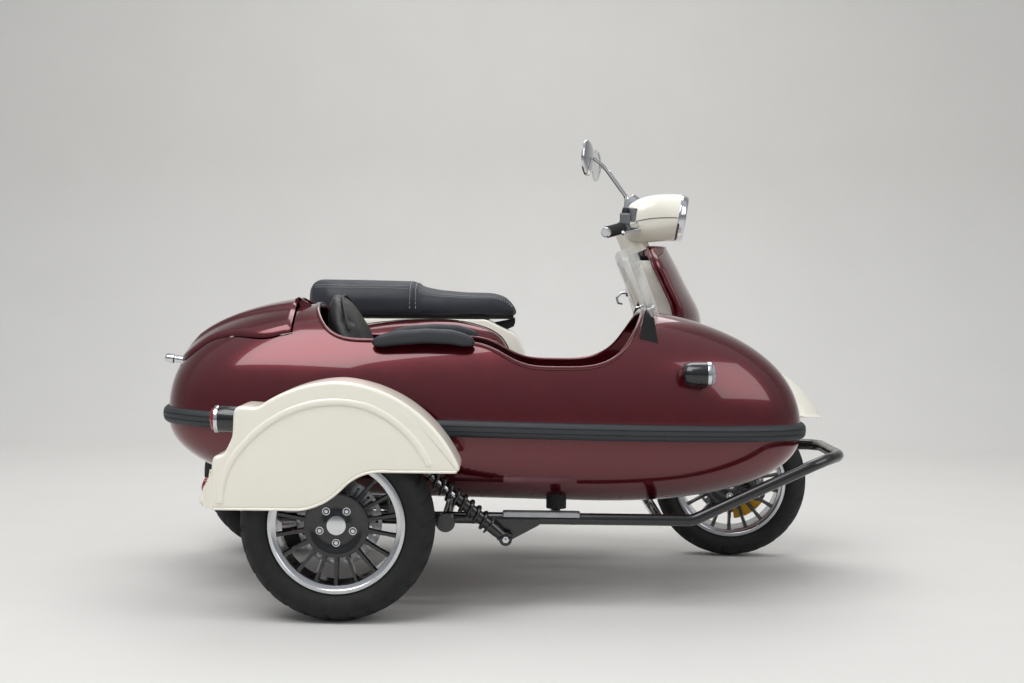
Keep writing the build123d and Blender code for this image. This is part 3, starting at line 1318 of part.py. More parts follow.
def along_grip(share, side):
    """Point on the straight outer run of the handlebar."""
    start = Vector(BAR_BEND[0], side * BAR_BEND[1], BAR_BEND[2])
    end = Vector(BAR_END[0], side * BAR_END[1], BAR_END[2])
    return start + (end - start) * share


with BuildPart() as grips:
    for side in (-1, 1):
        run = along_grip(1.0, side) - along_grip(0.22, side)
        with BuildSketch(Plane(origin=along_grip(0.22, side), z_dir=run.normalized())):
            Circle(GRIP_R)
            Circle(BAR_R + SEAT_GAP, mode=Mode.SUBTRACT)
        extrude(amount=run.length - 12.0)
save(grips, "grips", steered=True)

with BuildPart() as hand_controls:
    for side in (-1, 1):
        run = (along_grip(1.0, side) - along_grip(0.0, side)).normalized()
        with BuildSketch(Plane(origin=along_grip(0.04, side), z_dir=run)):
            Circle(GRIP_R + 3.0)
            Circle(BAR_R + SEAT_GAP, mode=Mode.SUBTRACT)
        extrude(amount=22.0)
        perch = along_grip(0.1, side) + Vector(20.0, 0, -4.0)
        tip = along_grip(0.92, side) + Vector(46.0, 0, -2.0)
        bar((tuple(perch), tuple(perch + Vector(34.0, side * 18.0, 0.0)), tuple(tip)), 6.0, 16.0)
        with BuildSketch(Plane(origin=along_grip(0.1, side) + Vector(4.0, 0, 16.0), z_dir=(0, 0, 1))):
            RectangleRounded(30.0, 44.0, 5.0)
        extrude(amount=26.0)
save(hand_controls, "hand_controls", steered=True)

MIRROR_R = 52.0
MIRROR_T = 14.0
with BuildPart() as mirrors:
    for side in (-1, 1):
        root = along_grip(0.1, side) + Vector(4.0, 0, 42.0 + 2 * SEAT_GAP)
        head = Vector(948.0, side * 300.0, 1195.0)
        bar(
            (
                tuple(root),
                tuple(root + Vector(2.0, side * 2.0, 44.0)),
                (head.X + 34.0, head.Y - side * 26.0, head.Z - 22.0),
                (head.X + 6.0, head.Y - side * 4.0, head.Z - 1.0),
            ),
            5.0,
            12.0,
        )
        glass = Vector(-cos(radians(15.0)), -side * sin(radians(15.0)), 0)
        with BuildSketch(Plane(origin=head, z_dir=glass)):
            Circle(MIRROR_R)
        extrude(amount=MIRROR_T)
save(mirrors, "mirrors", steered=True)
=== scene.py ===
# %% [markdown]
# A motor scooter with a sidecar, dressed for a studio photograph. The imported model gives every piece
# its place and its motion, and this file gives each one its looks. Each shape is a surface worked out
# as whole arrays of points, and each finish is built from what the real material is.

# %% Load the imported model
import math
from contextlib import contextmanager
import bmesh
import bpy
import numpy as np
from mathutils import Matrix, Vector
from mathutils.bvhtree import BVHTree


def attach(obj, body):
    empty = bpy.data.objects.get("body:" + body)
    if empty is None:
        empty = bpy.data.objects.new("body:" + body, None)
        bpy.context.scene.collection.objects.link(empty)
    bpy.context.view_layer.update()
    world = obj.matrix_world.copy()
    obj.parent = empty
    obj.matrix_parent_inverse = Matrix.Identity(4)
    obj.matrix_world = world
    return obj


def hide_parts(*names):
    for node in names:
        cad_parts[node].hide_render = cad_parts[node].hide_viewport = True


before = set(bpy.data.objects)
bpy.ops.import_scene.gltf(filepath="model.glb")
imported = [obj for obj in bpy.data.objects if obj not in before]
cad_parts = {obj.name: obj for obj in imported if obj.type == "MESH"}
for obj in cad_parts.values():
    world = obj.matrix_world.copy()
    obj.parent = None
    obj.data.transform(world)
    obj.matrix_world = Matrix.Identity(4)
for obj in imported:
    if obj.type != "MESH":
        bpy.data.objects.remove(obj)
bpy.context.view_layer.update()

# %% [markdown]
# Sizes below are the drawing's own, in millimetres, with X forward from the rear axle, Y to the left of
# the scooter's centre plane and Z up. `home` brings such points to the shared frame in metres. Pieces
# that steer are drawn straight ahead and then take the parked turn of the front wheel.

# %% From the drawing to the shared frame
MIDDLE_X, MIDDLE_Y = 650.0, -337.0
RAKE = math.radians(23.5)
AXIS_FOOT_X = 1479.6
PARKED_TURN = math.radians(-6.0)


def home(points):
    """Drawing points in millimetres, shifted to the shared origin and scaled to metres."""
    points = np.asarray(points, float)
    return (points - (MIDDLE_X, MIDDLE_Y, 0.0)) / 1000.0


def parked(points):
    """Points turned about the raked steering axis: p cos t + (k x p) sin t + k (k.p)(1 - cos t)."""
    points = np.asarray(points, float) - (AXIS_FOOT_X, 0.0, 0.0)
    k = np.array([-math.sin(RAKE), 0.0, math.cos(RAKE)])
    c, s = math.cos(PARKED_TURN), math.sin(PARKED_TURN)
    turned = points * c + np.cross(k, points) * s + (points @ k)[..., None] * k * (1 - c)
    return turned + (AXIS_FOOT_X, 0.0, 0.0)


def steer_x(z):
    return AXIS_FOOT_X - z * math.tan(RAKE)


# %% [markdown]
# Every surface here is a grid of points. Neighbouring points make a four-sided face, a grid that closes
# on itself joins its last row to its first, and a cap fills an open end. One function turns such a grid
# into a mesh, and a second one gathers several grids into one piece.

# %% Grids to meshes
MERGE = 0.00002
SHARP_FROM = 40.0


def xyz(x, y, z):
    """Points from three coordinates whose shapes broadcast together."""
    return np.stack(np.broadcast_arrays(x, y, z), -1)


def squared(wave, power):
    """A sine or cosine made squarer or sharper: sign(w) |w| to the power."""
    return np.sign(wave) * np.abs(wave) ** power


def full_turn(count):
    return np.linspace(0, 2 * np.pi, count, endpoint=False)


def grid_faces(rows, cols, wrap_rows=False, wrap_cols=False, first=0):
    """Faces of a grid: point (i, j) joins (i+1, j), (i+1, j+1) and (i, j+1), indices modulo where it wraps."""
    i, j = np.meshgrid(np.arange(rows if wrap_rows else rows - 1), np.arange(cols if wrap_cols else cols - 1),
                       indexing="ij")
    a = i * cols + j
    b = ((i + 1) % rows) * cols + j
    c = ((i + 1) % rows) * cols + (j + 1) % cols
    d = i * cols + (j + 1) % cols
    return (np.stack([a, b, c, d], -1).reshape(-1, 4) + first).tolist()


def shade(mesh, smooth=SHARP_FROM):
    """Smooth faces, with a sharp edge wherever two faces meet at more than the given degrees."""
    mesh.polygons.foreach_set("use_smooth", np.ones(len(mesh.polygons), bool))
    mesh.set_sharp_from_angle(angle=math.radians(smooth))


@contextmanager
def editing(mesh, smooth=SHARP_FROM):
    """The mesh opened for edits of its points and faces, written back and shaded at the end."""
    shape = bmesh.new()
    shape.from_mesh(mesh)
    yield shape
    shape.to_mesh(mesh)
    shape.free()
    shade(mesh, smooth)


def piece(name, sheets, smooth=SHARP_FROM, outward=True):
    """One object from several sheets, each (points, wrap_rows, wrap_cols, cap): doubles merged, faces outwards."""
    verts, faces = [], []
    for points, wrap_rows, wrap_cols, cap in sheets:
        rows, cols = points.shape[:2]
        first = sum(len(v) for v in verts)
        verts.append(points.reshape(-1, 3))
        faces += grid_faces(rows, cols, wrap_rows, wrap_cols, first)
        if cap:
            last = first + (rows - 1) * cols
            faces += [list(range(first, first + cols)), list(range(last, last + cols))[::-1]]
    mesh = bpy.data.meshes.new(name)
    mesh.from_pydata(np.concatenate(verts).tolist(), [], faces)
    obj = bpy.data.objects.new(name, mesh)
    bpy.context.scene.collection.objects.link(obj)
    with editing(mesh, smooth) as shape:
        bmesh.ops.remove_doubles(shape, verts=shape.verts, dist=MERGE)
        bmesh.ops.dissolve_degenerate(shape, dist=MERGE / 2, edges=shape.edges)
        if outward:
            bmesh.ops.recalc_face_normals(shape, faces=shape.faces)
    return obj


def bake(obj, smooth=SHARP_FROM):
    """Apply the object's modifiers, so that what follows works on the finished mesh."""
    made = bpy.data.meshes.new_from_object(obj.evaluated_get(bpy.context.evaluated_depsgraph_get()))
    obj.modifiers.clear()
    obj.data = made
    shade(made, smooth)
    return obj


def add_modifier(obj, kind, **settings):
    made = obj.modifiers.new(kind.title(), kind)
    for key, value in settings.items():
        setattr(made, key, value)
    return made


def thicken(obj, wall, offset=-1.0):
    """Give a sheet its wall, in metres, to the side that the offset names."""
    add_modifier(obj, "SOLIDIFY", thickness=wall, offset=offset)
    return bake(obj)


def cut(obj, cutter):
    """Take the cutter's volume out of the object, then remove the cutter."""
    add_modifier(obj, "BOOLEAN", object=cutter, operation="DIFFERENCE", solver="EXACT")
    bpy.context.view_layer.update()
    bake(obj)
    bpy.data.objects.remove(cutter)
    return obj


def cut_closed(obj, name, sheet):
    """Take the volume of one closed tube or plate, in drawing millimetres, out of the object."""
    return cut(obj, piece(name, [(home(sheet[0]), False, True, True)]))


# %% [markdown]
# Three ways of making a grid cover most of the machine. A tube carries a circle along a path, a turned
# piece carries a profile round an axle, and a plate gives a flat outline its thickness.

# %% Tubes, turned pieces and plates
def rounded_route(corners, radius, steps=8):
    """Path through corners with each corner replaced by an arc that touches both runs at the same distance."""
    corners = np.asarray(corners, float)
    route = [corners[0]]
    radii = np.broadcast_to(radius, len(corners) - 2)
    for before, corner, after, radius in zip(corners[:-2], corners[1:-1], corners[2:], radii):
        a, b = before - corner, after - corner
        a, b = a / np.linalg.norm(a), b / np.linalg.norm(b)
        if a @ b < -0.99999:
            route.append(corner)
            continue
        half = math.acos(np.clip(a @ b, -1, 1)) / 2
        reach = radius / math.tan(half)
        centre = corner + (a + b) / np.linalg.norm(a + b) * radius / math.sin(half)
        start, end = corner + a * reach - centre, corner + b * reach - centre
        swing = math.acos(np.clip(start @ end / radius**2, -1, 1))
        t = np.linspace(0, 1, steps)[:, None]
        route += list(centre + (np.sin((1 - t) * swing) * start + np.sin(t * swing) * end) / math.sin(swing))
    return np.array(route + [corners[-1]])


def rounded_outline(corners, radius, steps=8):
    """Closed flat outline: every corner is rounded but the first, which is where it starts and ends."""
    return rounded_route([(*corner, 0.0) for corner in [*corners, corners[0]]], radius, steps)[:-1, :2]


def rounded_box(low, high, radius):
    """Outline of a box from its low to its high corner, begun in the middle of the low side."""
    (x0, y0), (x1, y1) = low, high
    return rounded_outline([((x0 + x1) / 2, y0), (x1, y0), (x1, y1), (x0, y1), (x0, y0)], radius)


def tube_grid(route, radius, around=20, squash=1.0):
    """Circle of the radius carried along the route; the frame at each point is turned least from the one before."""
    route = np.asarray(route, float)
    ahead = np.gradient(route, axis=0)
    ahead /= np.linalg.norm(ahead, axis=1)[:, None]
    side = np.cross(ahead[0], (0.0, 0.0, 1.0) if abs(ahead[0][2]) < 0.9 else (0.0, 1.0, 0.0))
    sides = []
    for direction in ahead:
        side = side - direction * (side @ direction)
        side = side / np.linalg.norm(side)
        sides.append(side)
    sides = np.array(sides)
    ups = np.cross(sides, ahead)
    t = full_turn(around)
    size = np.broadcast_to(np.asarray(radius, float), (len(route),))
    ring = sides[:, None] * np.cos(t)[None, :, None] + squash * ups[:, None] * np.sin(t)[None, :, None]
    return route[:, None] + ring * size[:, None, None]


def tube(route, radius, around=20, squash=1.0):
    return (tube_grid(route, radius, around, squash), False, True, True)


def turned_grid(centre, axle, profile, around=96, start=0.0, sweep=360.0):
    """Profile of (along, radius) pairs turned about an axle: centre + along a + radius (u cos t + v sin t)."""
    centre, axle = np.asarray(centre, float), np.asarray(axle, float)
    axle = axle / np.linalg.norm(axle)
    u = np.cross(axle, (0.0, 0.0, 1.0) if abs(axle[2]) < 0.9 else (1.0, 0.0, 0.0))
    u /= np.linalg.norm(u)
    v = np.cross(axle, u)
    whole = abs(sweep - 360.0) < 0.01
    t = np.radians(start + np.linspace(0, sweep, around, endpoint=not whole))
    along, radius = np.asarray(profile, float).T
    ring = np.cos(t)[:, None, None] * u + np.sin(t)[:, None, None] * v
    return centre + along[None, :, None] * axle + radius[None, :, None] * ring


def turned(centre, axle, profile, around=96):
    return (turned_grid(centre, axle, profile, around), True, False, False)


def plate(outline, low, high, across="y"):
    """Closed plate: a flat outline of (x, z) pairs, or (x, y) across z, between two distances along its normal."""
    u, v = np.asarray(outline, float).T
    rows = [xyz(u, distance, v) if across == "y" else xyz(u, v, distance) for distance in (low, high)]
    return (np.array(rows), False, True, True)


def eye(centre, radius, side=1, half=12.0):
    """Bevelled disc about a crosswise pin, as at the ends of links."""
    rim = [(-half, 0.1), (-half, radius - 1.5), (-half + 1.5, radius), (half - 1.5, radius), (half, radius - 1.5),
           (half, 0.1)]
    return turned(centre, (0, side, 0), rim, 40)


def arcs(points, steps=10):
    """Points along arcs, each through three of the given points: the circle's centre from two chords."""
    points = [np.asarray(p, float) for p in points]
    out = [points[0]]
    for a, b, c in zip(points[0::2], points[1::2], points[2::2]):
        d = 2 * (a[0] * (b[1] - c[1]) + b[0] * (c[1] - a[1]) + c[0] * (a[1] - b[1]))
        if abs(d) < 1e-6:
            out += [b, c]
            continue
        ux = ((a @ a) * (b[1] - c[1]) + (b @ b) * (c[1] - a[1]) + (c @ c) * (a[1] - b[1])) / d
        uy = ((a @ a) * (c[0] - b[0]) + (b @ b) * (a[0] - c[0]) + (c @ c) * (b[0] - a[0])) / d
        centre = np.array([ux, uy])
        t0, t1, t2 = (math.atan2(*(p - centre)[::-1]) for p in (a, b, c))
        t1, t2 = (t1 - t0) % (2 * math.pi), (t2 - t0) % (2 * math.pi)
        sweep = t2 if t1 < t2 else t2 - 2 * math.pi
        t = t0 + sweep * np.linspace(0, 1, steps + 1)[1:]
        out += list(centre + np.linalg.norm(a - centre) * np.stack([np.cos(t), np.sin(t)], -1))
    return np.array(out)


# %% [markdown]
# A finish is a colour that varies a little, a roughness that varies with wear, and a fine relief. Paint
# adds a clear coat over it, and cast or moulded pieces get a coarser grain. Scales are given in
# millimetres and become cycles per metre, because Object coordinates are in metres.

# %% Colours and the node that builds finishes
def linear(hexcode):
    """sRGB hex to linear: c / 12.92 below 0.04045, otherwise ((c + 0.055) / 1.055) to the power 2.4."""
    c = np.array([int(hexcode[n:n + 2], 16) for n in (1, 3, 5)]) / 255.0
    return (*np.where(c < 0.04045, c / 12.92, ((c + 0.055) / 1.055) ** 2.4).tolist(), 1.0)


def add_node(tree, kind, values=None, links=None, **settings):
    """One node with its settings, its socket values and its incoming links, given as socket: (node, output)."""
    made = tree.nodes.new(kind)
    for key, value in settings.items():
        setattr(made, key, value)
    for key, value in (values or {}).items():
        made.inputs[key].default_value = value
    for key, (source, output) in (links or {}).items():
        tree.links.new(source.outputs[output], made.inputs[key])
    return made


def finish(name, base, other, rough, rough_other, patch_mm, grain_mm, relief_mm, kind="ShaderNodeTexNoise", **shader):
    """Patches of two close colours, a roughness that follows them, and a grain whose height is relief_mm."""
    made = bpy.data.materials.new(name)
    made.use_nodes = True
    tree = made.node_tree
    tree.nodes.clear()
    where = add_node(tree, "ShaderNodeTexCoord")
    patches = add_node(tree, "ShaderNodeTexNoise", {"Scale": 1000.0 / patch_mm, "Detail": 4.0, "Roughness": 0.6},
                       {"Vector": (where, "Object")})
    colour = add_node(tree, "ShaderNodeMix", {6: linear(base), 7: linear(other)}, {"Factor": (patches, 0)},
                      data_type="RGBA")
    worn = add_node(tree, "ShaderNodeMapRange",
                    {"From Min": 0.3, "From Max": 0.7, "To Min": rough, "To Max": rough_other}, {"Value": (patches, 0)})
    grain = add_node(tree, kind, {"Scale": 1000.0 / grain_mm}, {"Vector": (where, "Object")})
    relief = add_node(tree, "ShaderNodeBump", {"Strength": 0.6, "Distance": relief_mm / 1000.0}, {"Height": (grain, 0)})
    surface = add_node(tree, "ShaderNodeBsdfPrincipled", shader,
                       {"Base Color": (colour, 2), "Roughness": (worn, 0), "Normal": (relief, 0)})
    add_node(tree, "ShaderNodeOutputMaterial", None, {"Surface": (surface, 0)})
    made.diffuse_color = linear(base)
    return made


# %% [markdown]
# The painted panels are steel or fibreglass under enamel. The burgundy is a candy paint: a dark red base
# with fine metal flake under a clear coat, so it goes nearly black where it turns away. The cream and
# black are plain gloss enamels. The relief is the faint orange peel that sprayed paint has.

# %% Painted finishes
burgundy_candy = finish("candy_burgundy_enamel", "#560412", "#620617", 0.22, 0.28, 60.0, 3.0, 0.004,
                        **{"Metallic": 0.6, "Coat Weight": 1.0, "Coat Roughness": 0.03, "Coat IOR": 1.5})
cream_enamel = finish("ivory_cream_enamel", "#F4F0E3", "#F0EBDC", 0.3, 0.36, 90.0, 4.0, 0.004,
                      **{"Coat Weight": 0.7, "Coat Roughness": 0.05})
black_enamel = finish("gloss_black_enamel", "#070708", "#0B0B0D", 0.2, 0.3, 40.0, 3.0, 0.005,
                      **{"Coat Weight": 0.6, "Coat Roughness": 0.06})

# %% [markdown]
# Rubber scatters what little light it returns, so it is rough and dark, greyer where it is old. Moulded
# plastic has a spark-eroded grain of about a millimetre. Leather has creased cells of about two
# millimetres, and the saddle's vinyl a finer grain of the same kind.

# %% Rubber, plastic, leather and vinyl
tyre_rubber = finish("tyre_rubber", "#111112", "#171718", 0.72, 0.85, 25.0, 1.2, 0.08)
grey_rubber = finish("dark_grey_extruded_rubber", "#2B2D31", "#33363A", 0.5, 0.66, 30.0, 1.5, 0.05)
black_rubber = finish("black_moulded_rubber", "#141414", "#1C1C1C", 0.6, 0.75, 20.0, 1.5, 0.08)
black_plastic = finish("grained_black_plastic", "#0E0E0F", "#141415", 0.5, 0.6, 30.0, 1.0, 0.05)
black_leather = finish("black_leather", "#141213", "#1E1B1B", 0.42, 0.55, 35.0, 2.4, 0.18, kind="ShaderNodeTexVoronoi")
saddle_vinyl = finish("charcoal_saddle_vinyl", "#24272E", "#2A2D35", 0.5, 0.6, 40.0, 1.8, 0.1,
                      kind="ShaderNodeTexVoronoi")
pale_thread = finish("pale_sewing_thread", "#C9CBD0", "#B9BBC2", 0.7, 0.8, 6.0, 0.8, 0.1)

# %% [markdown]
# Metals take their colour in the reflection. Chrome is a near-white mirror, turned alloy has fine rings
# that blur it, and cast alloy is a satin grey with a sand grain. The clear pieces let light through: the
# screen is acrylic at an index of 1.49, and lamp lenses are cast thicker with a rougher face.

# %% Metal and clear finishes
chrome = finish("chrome_plate", "#D9DADC", "#CFD1D4", 0.05, 0.09, 50.0, 5.0, 0.005, **{"Metallic": 1.0})
turned_alloy = finish("turned_alloy", "#D2D3D5", "#C6C8CB", 0.16, 0.24, 12.0, 0.6, 0.003, **{"Metallic": 1.0})
cast_alloy = finish("cast_alloy", "#8C8E90", "#7C7E80", 0.42, 0.55, 30.0, 1.4, 0.08, **{"Metallic": 0.9})
bright_steel = finish("bright_steel", "#B9BABC", "#A6A8AB", 0.3, 0.42, 18.0, 0.9, 0.03, **{"Metallic": 1.0})
gold_anodised = finish("gold_anodised_alloy", "#C79A3A", "#B98C30", 0.35, 0.45, 15.0, 1.0, 0.03, **{"Metallic": 1.0})
mirror_glass = finish("silvered_glass", "#E4E6E8", "#DEE0E3", 0.02, 0.03, 80.0, 20.0, 0.001, **{"Metallic": 1.0})
clear_acrylic = finish("clear_acrylic", "#F4F8FA", "#F0F5F8", 0.02, 0.05, 80.0, 30.0, 0.002,
                       **{"Transmission Weight": 1.0, "IOR": 1.49, "Alpha": 0.4})
lamp_glass = finish("ribbed_lamp_glass", "#EDF1F4", "#E6EBEF", 0.06, 0.1, 30.0, 7.0, 0.3,
                    **{"Transmission Weight": 0.75, "IOR": 1.5})
red_lens = finish("red_lamp_lens", "#8E0B10", "#9C1216", 0.12, 0.18, 20.0, 3.0, 0.12,
                  **{"Transmission Weight": 0.25, "IOR": 1.49, "Coat Weight": 0.5})
dial_black = finish("dial_black", "#0A0A0B", "#101012", 0.15, 0.2, 20.0, 2.0, 0.01, **{"Coat Weight": 1.0})

# A look is a finish paired with a slot name.
BURGUNDY, CREAM, BLACK_PAINT = (burgundy_candy, "burgundy_paint"), (cream_enamel, "cream_paint"), (black_enamel,
                                                                                                   "black_paint")
TYRE_RUBBER, GREY_RUBBER, BLACK_RUBBER = (tyre_rubber, "tyre_rubber"), (grey_rubber, "grey_rubber"), (black_rubber,
                                                                                                      "black_rubber")
BLACK_PLASTIC, SEAM_RUBBER = (black_plastic, "black_plastic"), (black_rubber, "black_plastic")
LEATHER, VINYL, SEAT_THREAD = (black_leather, "black_leather"), (saddle_vinyl, "seat_vinyl"), (pale_thread,
                                                                                               "seat_vinyl")
WHEEL_BLACK, WHEEL_ALLOY, CAST_ALLOY = (black_enamel, "wheel_alloy"), (turned_alloy, "wheel_alloy"), (cast_alloy,
                                                                                                      "cast_alloy")
CHROME, CONTROL_ALLOY, MIRROR = (chrome, "chrome"), (cast_alloy, "chrome"), (mirror_glass, "chrome")
STEEL, GOLD = (bright_steel, "bright_steel"), (gold_anodised, "cast_alloy")
ACRYLIC, LAMP_GLASS, RED_LENS = (clear_acrylic, "clear_acrylic"), (lamp_glass, "lamp_glass"), (red_lens, "red_lens")
DIAL, DIAL_MARK = (dial_black, "dial_face"), (pale_thread, "dial_face")
print("finishes made:", len(bpy.data.materials))

# %% [markdown]
# A dressed piece says which body carries it, which solid it stands for and which finish it has. A solid
# whose form is already right is only copied, its loose triangles joined, shaded smooth between its
# sharp edges, and given a small bevel that catches light as a real edge does.

# %% Placing pieces
def settle(obj, look, *stands_for, body="chassis"):
    """Give the object its finish, let it ride on a body and stand for the named solids."""
    material, slot = look
    obj.data.materials.clear()
    obj.data.materials.append(material)
    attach(obj, body)
    if stands_for:
        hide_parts(*stands_for)
    return obj


def copied(node, look, body="chassis", bevel_mm=0.0):
    """The node's own solid as a piece: doubles merged, sharp edges kept, edges bevelled by bevel_mm."""
    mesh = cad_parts[node].data.copy()
    with editing(mesh, 35.0) as shape:
        bmesh.ops.remove_doubles(shape, verts=shape.verts, dist=MERGE)
        bmesh.ops.dissolve_limit(shape, angle_limit=math.radians(0.5), verts=shape.verts, edges=shape.edges)
    obj = bpy.data.objects.new(node + "_dressed", mesh)
    bpy.context.scene.collection.objects.link(obj)
    if bevel_mm:
        add_modifier(obj, "BEVEL", width=bevel_mm / 1000.0, segments=2, limit_method="ANGLE",
                     angle_limit=math.radians(40), harden_normals=True)
    return settle(obj, look, node, body=body)


# %% [markdown]
# The camera comes first, so that every piece can be judged in its place. It stands about four and a
# quarter metres to the right of the outfit, at eye height for a crouching photographer, and looks
# almost level. The floor is pale and catches the shadow, and the light is large and soft.

# %% Camera, floor and lights
PITCH, ROLL = math.radians(2.17), math.radians(0.7)
CAMERA_AT, LENS_MM = (0.050, -4.243, 0.820), 52.73
WALL_Y, COVE_R = 4.8, 1.6
ahead = np.array([0.0, math.cos(PITCH), -math.sin(PITCH)])
level = np.array([1.0, 0.0, 0.0])
above = np.cross(level, ahead)
right = level * math.cos(ROLL) + above * math.sin(ROLL)
up = np.cross(right, ahead)
camera_data = bpy.data.cameras.new("camera")
camera_data.lens, camera_data.sensor_width = LENS_MM, 36.0
camera = bpy.data.objects.new("camera", camera_data)
bpy.context.scene.collection.objects.link(camera)
turn = Matrix([[right[n], up[n], -ahead[n]] for n in range(3)]).to_4x4()
camera.matrix_world = Matrix.Translation(CAMERA_AT) @ turn
bpy.context.scene.camera = camera

studio = bpy.data.worlds.new("studio")
bpy.context.scene.world = studio
studio.use_nodes = True
sky = studio.node_tree
sky.nodes.clear()
path = add_node(sky, "ShaderNodeLightPath")
seen = add_node(sky, "ShaderNodeMath", None, {0: (path, "Is Camera Ray"), 1: (path, "Is Transmission Ray")},
                operation="MAXIMUM")
direction = add_node(sky, "ShaderNodeTexCoord")
height = add_node(sky, "ShaderNodeSeparateXYZ", None, {"Vector": (direction, "Generated")})
fade = add_node(sky, "ShaderNodeMapRange", {"From Min": -0.2, "From Max": 0.9, "To Min": 0.18, "To Max": 0.72},
                {"Value": (height, "Z")})
dim = add_node(sky, "ShaderNodeBackground", {"Color": linear("#E8ECF2")}, {"Strength": (fade, 0)})
pale = add_node(sky, "ShaderNodeBackground", {"Color": linear("#E6E6E4"), "Strength": 1.0})
blend = add_node(sky, "ShaderNodeMixShader", None, {"Fac": (seen, 0), 1: (dim, 0), 2: (pale, 0)})
add_node(sky, "ShaderNodeOutputWorld", None, {"Surface": (blend, 0)})

t = np.linspace(0, math.pi / 2, 24)
bend = np.stack([WALL_Y - COVE_R + COVE_R * np.sin(t), COVE_R - 0.0005 - COVE_R * np.cos(t)], -1)
cove = np.concatenate([[(-60.0, -0.0005)], bend, [(WALL_Y, 14.0)]])
floor = piece("floor", [(xyz(np.array([[-60.0], [60.0]]), *cove.T), False, False, False)], outward=False)
floor_finish = finish("pale_floor", "#DCDAD6", "#D6D4D0", 0.6, 0.7, 400.0, 40.0, 0.05)
floor.data.materials.append(floor_finish)
# The floor and its wall are clear from their back, so a view from behind the wall still shows the machine.
tree = floor_finish.node_tree
surface, output = tree.nodes["Principled BSDF"], tree.nodes["Material Output"]
side = add_node(tree, "ShaderNodeNewGeometry")
clear = add_node(tree, "ShaderNodeBsdfTransparent")
one_sided = add_node(tree, "ShaderNodeMixShader", None, {"Fac": (side, "Backfacing"), 1: (surface, 0), 2: (clear, 0)})
tree.links.new(one_sided.outputs[0], output.inputs["Surface"])
for name, place, size, power, aim in (
    ("key", (-1.6, -2.4, 4.8), 3.6, 170.0, (0.1, -0.2, 0.4)),
    ("fill", (4.4, -2.6, 3.4), 3.0, 60.0, (0.3, 0.0, 0.5)),
    ("back", (0.2, 2.4, 4.4), 3.0, 80.0, (0.0, 0.6, 0.6)),
):
    lamp = bpy.data.lights.new(name, "AREA")
    lamp.size, lamp.energy = size, power
    stand = bpy.data.objects.new(name, lamp)
    stand.location = place
    stand.rotation_euler = (Vector(aim) - Vector(place)).to_track_quat("-Z", "Y").to_euler()
    bpy.context.scene.collection.objects.link(stand)
print("camera at", tuple(round(v, 3) for v in camera.matrix_world.translation))


# %% [markdown]
# Most pieces are gathered the same way, so `make` takes sheets in drawing millimetres, brings them home
# and settles them on their body. `steered` does so for pieces that turn with the handlebar.

# %% From sheets to a settled piece
def placed(points, steer=False):
    return home(parked(points) if steer else points)


def make(name, sheets, look, *stands_for, body="chassis", steer=False, smooth=SHARP_FROM):
    """Sheets in drawing millimetres as one settled piece, turned with the front wheel if it steers."""
    sheets = [(placed(points, steer), *rest) for points, *rest in sheets]
    return settle(piece(name, sheets, smooth), look, *stands_for, body=body)


def steered(name, sheets, look, *stands_for, smooth=SHARP_FROM):
    return make(name, sheets, look, *stands_for, body="steering", steer=True, smooth=smooth)


# %% [markdown]
# The tub is a torpedo: every section across it is a superellipse, |y / b| to the p plus |z / h| to the p
# equal to one, and b and h swell from nothing at the tail to a full middle and shrink again to the
# nose by the same kind of curve. The upper shell and the hull share the belt line between them.

# %% The tub's own curves
TUB_Y, TUB_REAR, TUB_FRONT = -535.0, -216.0, 1480.0
BELT_REAR_Z, SLOPE = 468.0, math.tan(math.radians(1.0))
UPPER_POWER, HULL_POWER = 2.2, 3.0
TUB_WALL = 0.009


def belt_z(x):
    return BELT_REAR_Z - (np.asarray(x, float) - TUB_REAR) * SLOPE


def swell(x, size, grow, rear, front, power_rear, power_front):
    """(size + grow) (1 - d^p)^(1/p), where d runs from 0 at the full middle to 1 at each end."""
    x = np.asarray(x, float)
    d_rear = np.clip((rear - x) / (rear - TUB_REAR + grow), 0, 1)
    d_front = np.clip((x - front) / (TUB_FRONT - front + grow), 0, 1)
    rear_share = (1 - d_rear**power_rear) ** (1 / power_rear)
    front_share = (1 - d_front**power_front) ** (1 / power_front)
    return (size + grow) * rear_share * front_share


def tub_half(x, grow=0.0):
    return swell(x, 262.0, grow, 350.0, 600.0, 2.6, 2.3)


def tub_height(x, grow=0.0):
    return swell(x, 318.0, grow, 500.0, 900.0, 2.6, 2.2)


def tub_depth(x, grow=0.0):
    return swell(x, 200.0, grow, 350.0, 900.0, 2.2, 2.2)


def along_tub(count, grow=0.0):
    """Stations that crowd towards both ends as a cosine does, where the tub curves most."""
    t = np.linspace(0, np.pi, count)
    return (TUB_REAR + TUB_FRONT) / 2 - (TUB_FRONT - TUB_REAR + 2 * grow) / 2 * np.cos(t)


def shell(rise, power, sign, grow=0.0, count=150, turns=72):
    """Grid over x and turn: y = b cos^(2/p) t and z = belt + sign h sin^(2/p) t, from one belt side to the other."""
    x = along_tub(count, grow)[:, None]
    t = np.linspace(0, np.pi, turns)[None, :]
    c, s = np.cos(t), np.sin(t)
    y = TUB_Y - tub_half(x, grow) * squared(c, 2 / power)
    z = belt_z(x) + sign * rise(x, grow) * np.abs(s) ** (2 / power)
    return xyz(x, y, z)


def deck_z(x, y, grow=0.0):
    """Height of the upper shell over a point in plan."""
    out = np.clip(np.abs(y - TUB_Y) / np.maximum(tub_half(x, grow), 1e-6), 0, 1)
    return belt_z(x) + tub_height(x, grow) * (1 - out**UPPER_POWER) ** (1 / UPPER_POWER)


RIM_LINE = [(172, 900), (172, 778), (212, 700), (262, 673), (600, 670), (650, 658), (695, 627), (745, 608),
            (890, 608), (945, 619), (990, 650), (1040, 735), (1100, 900)]


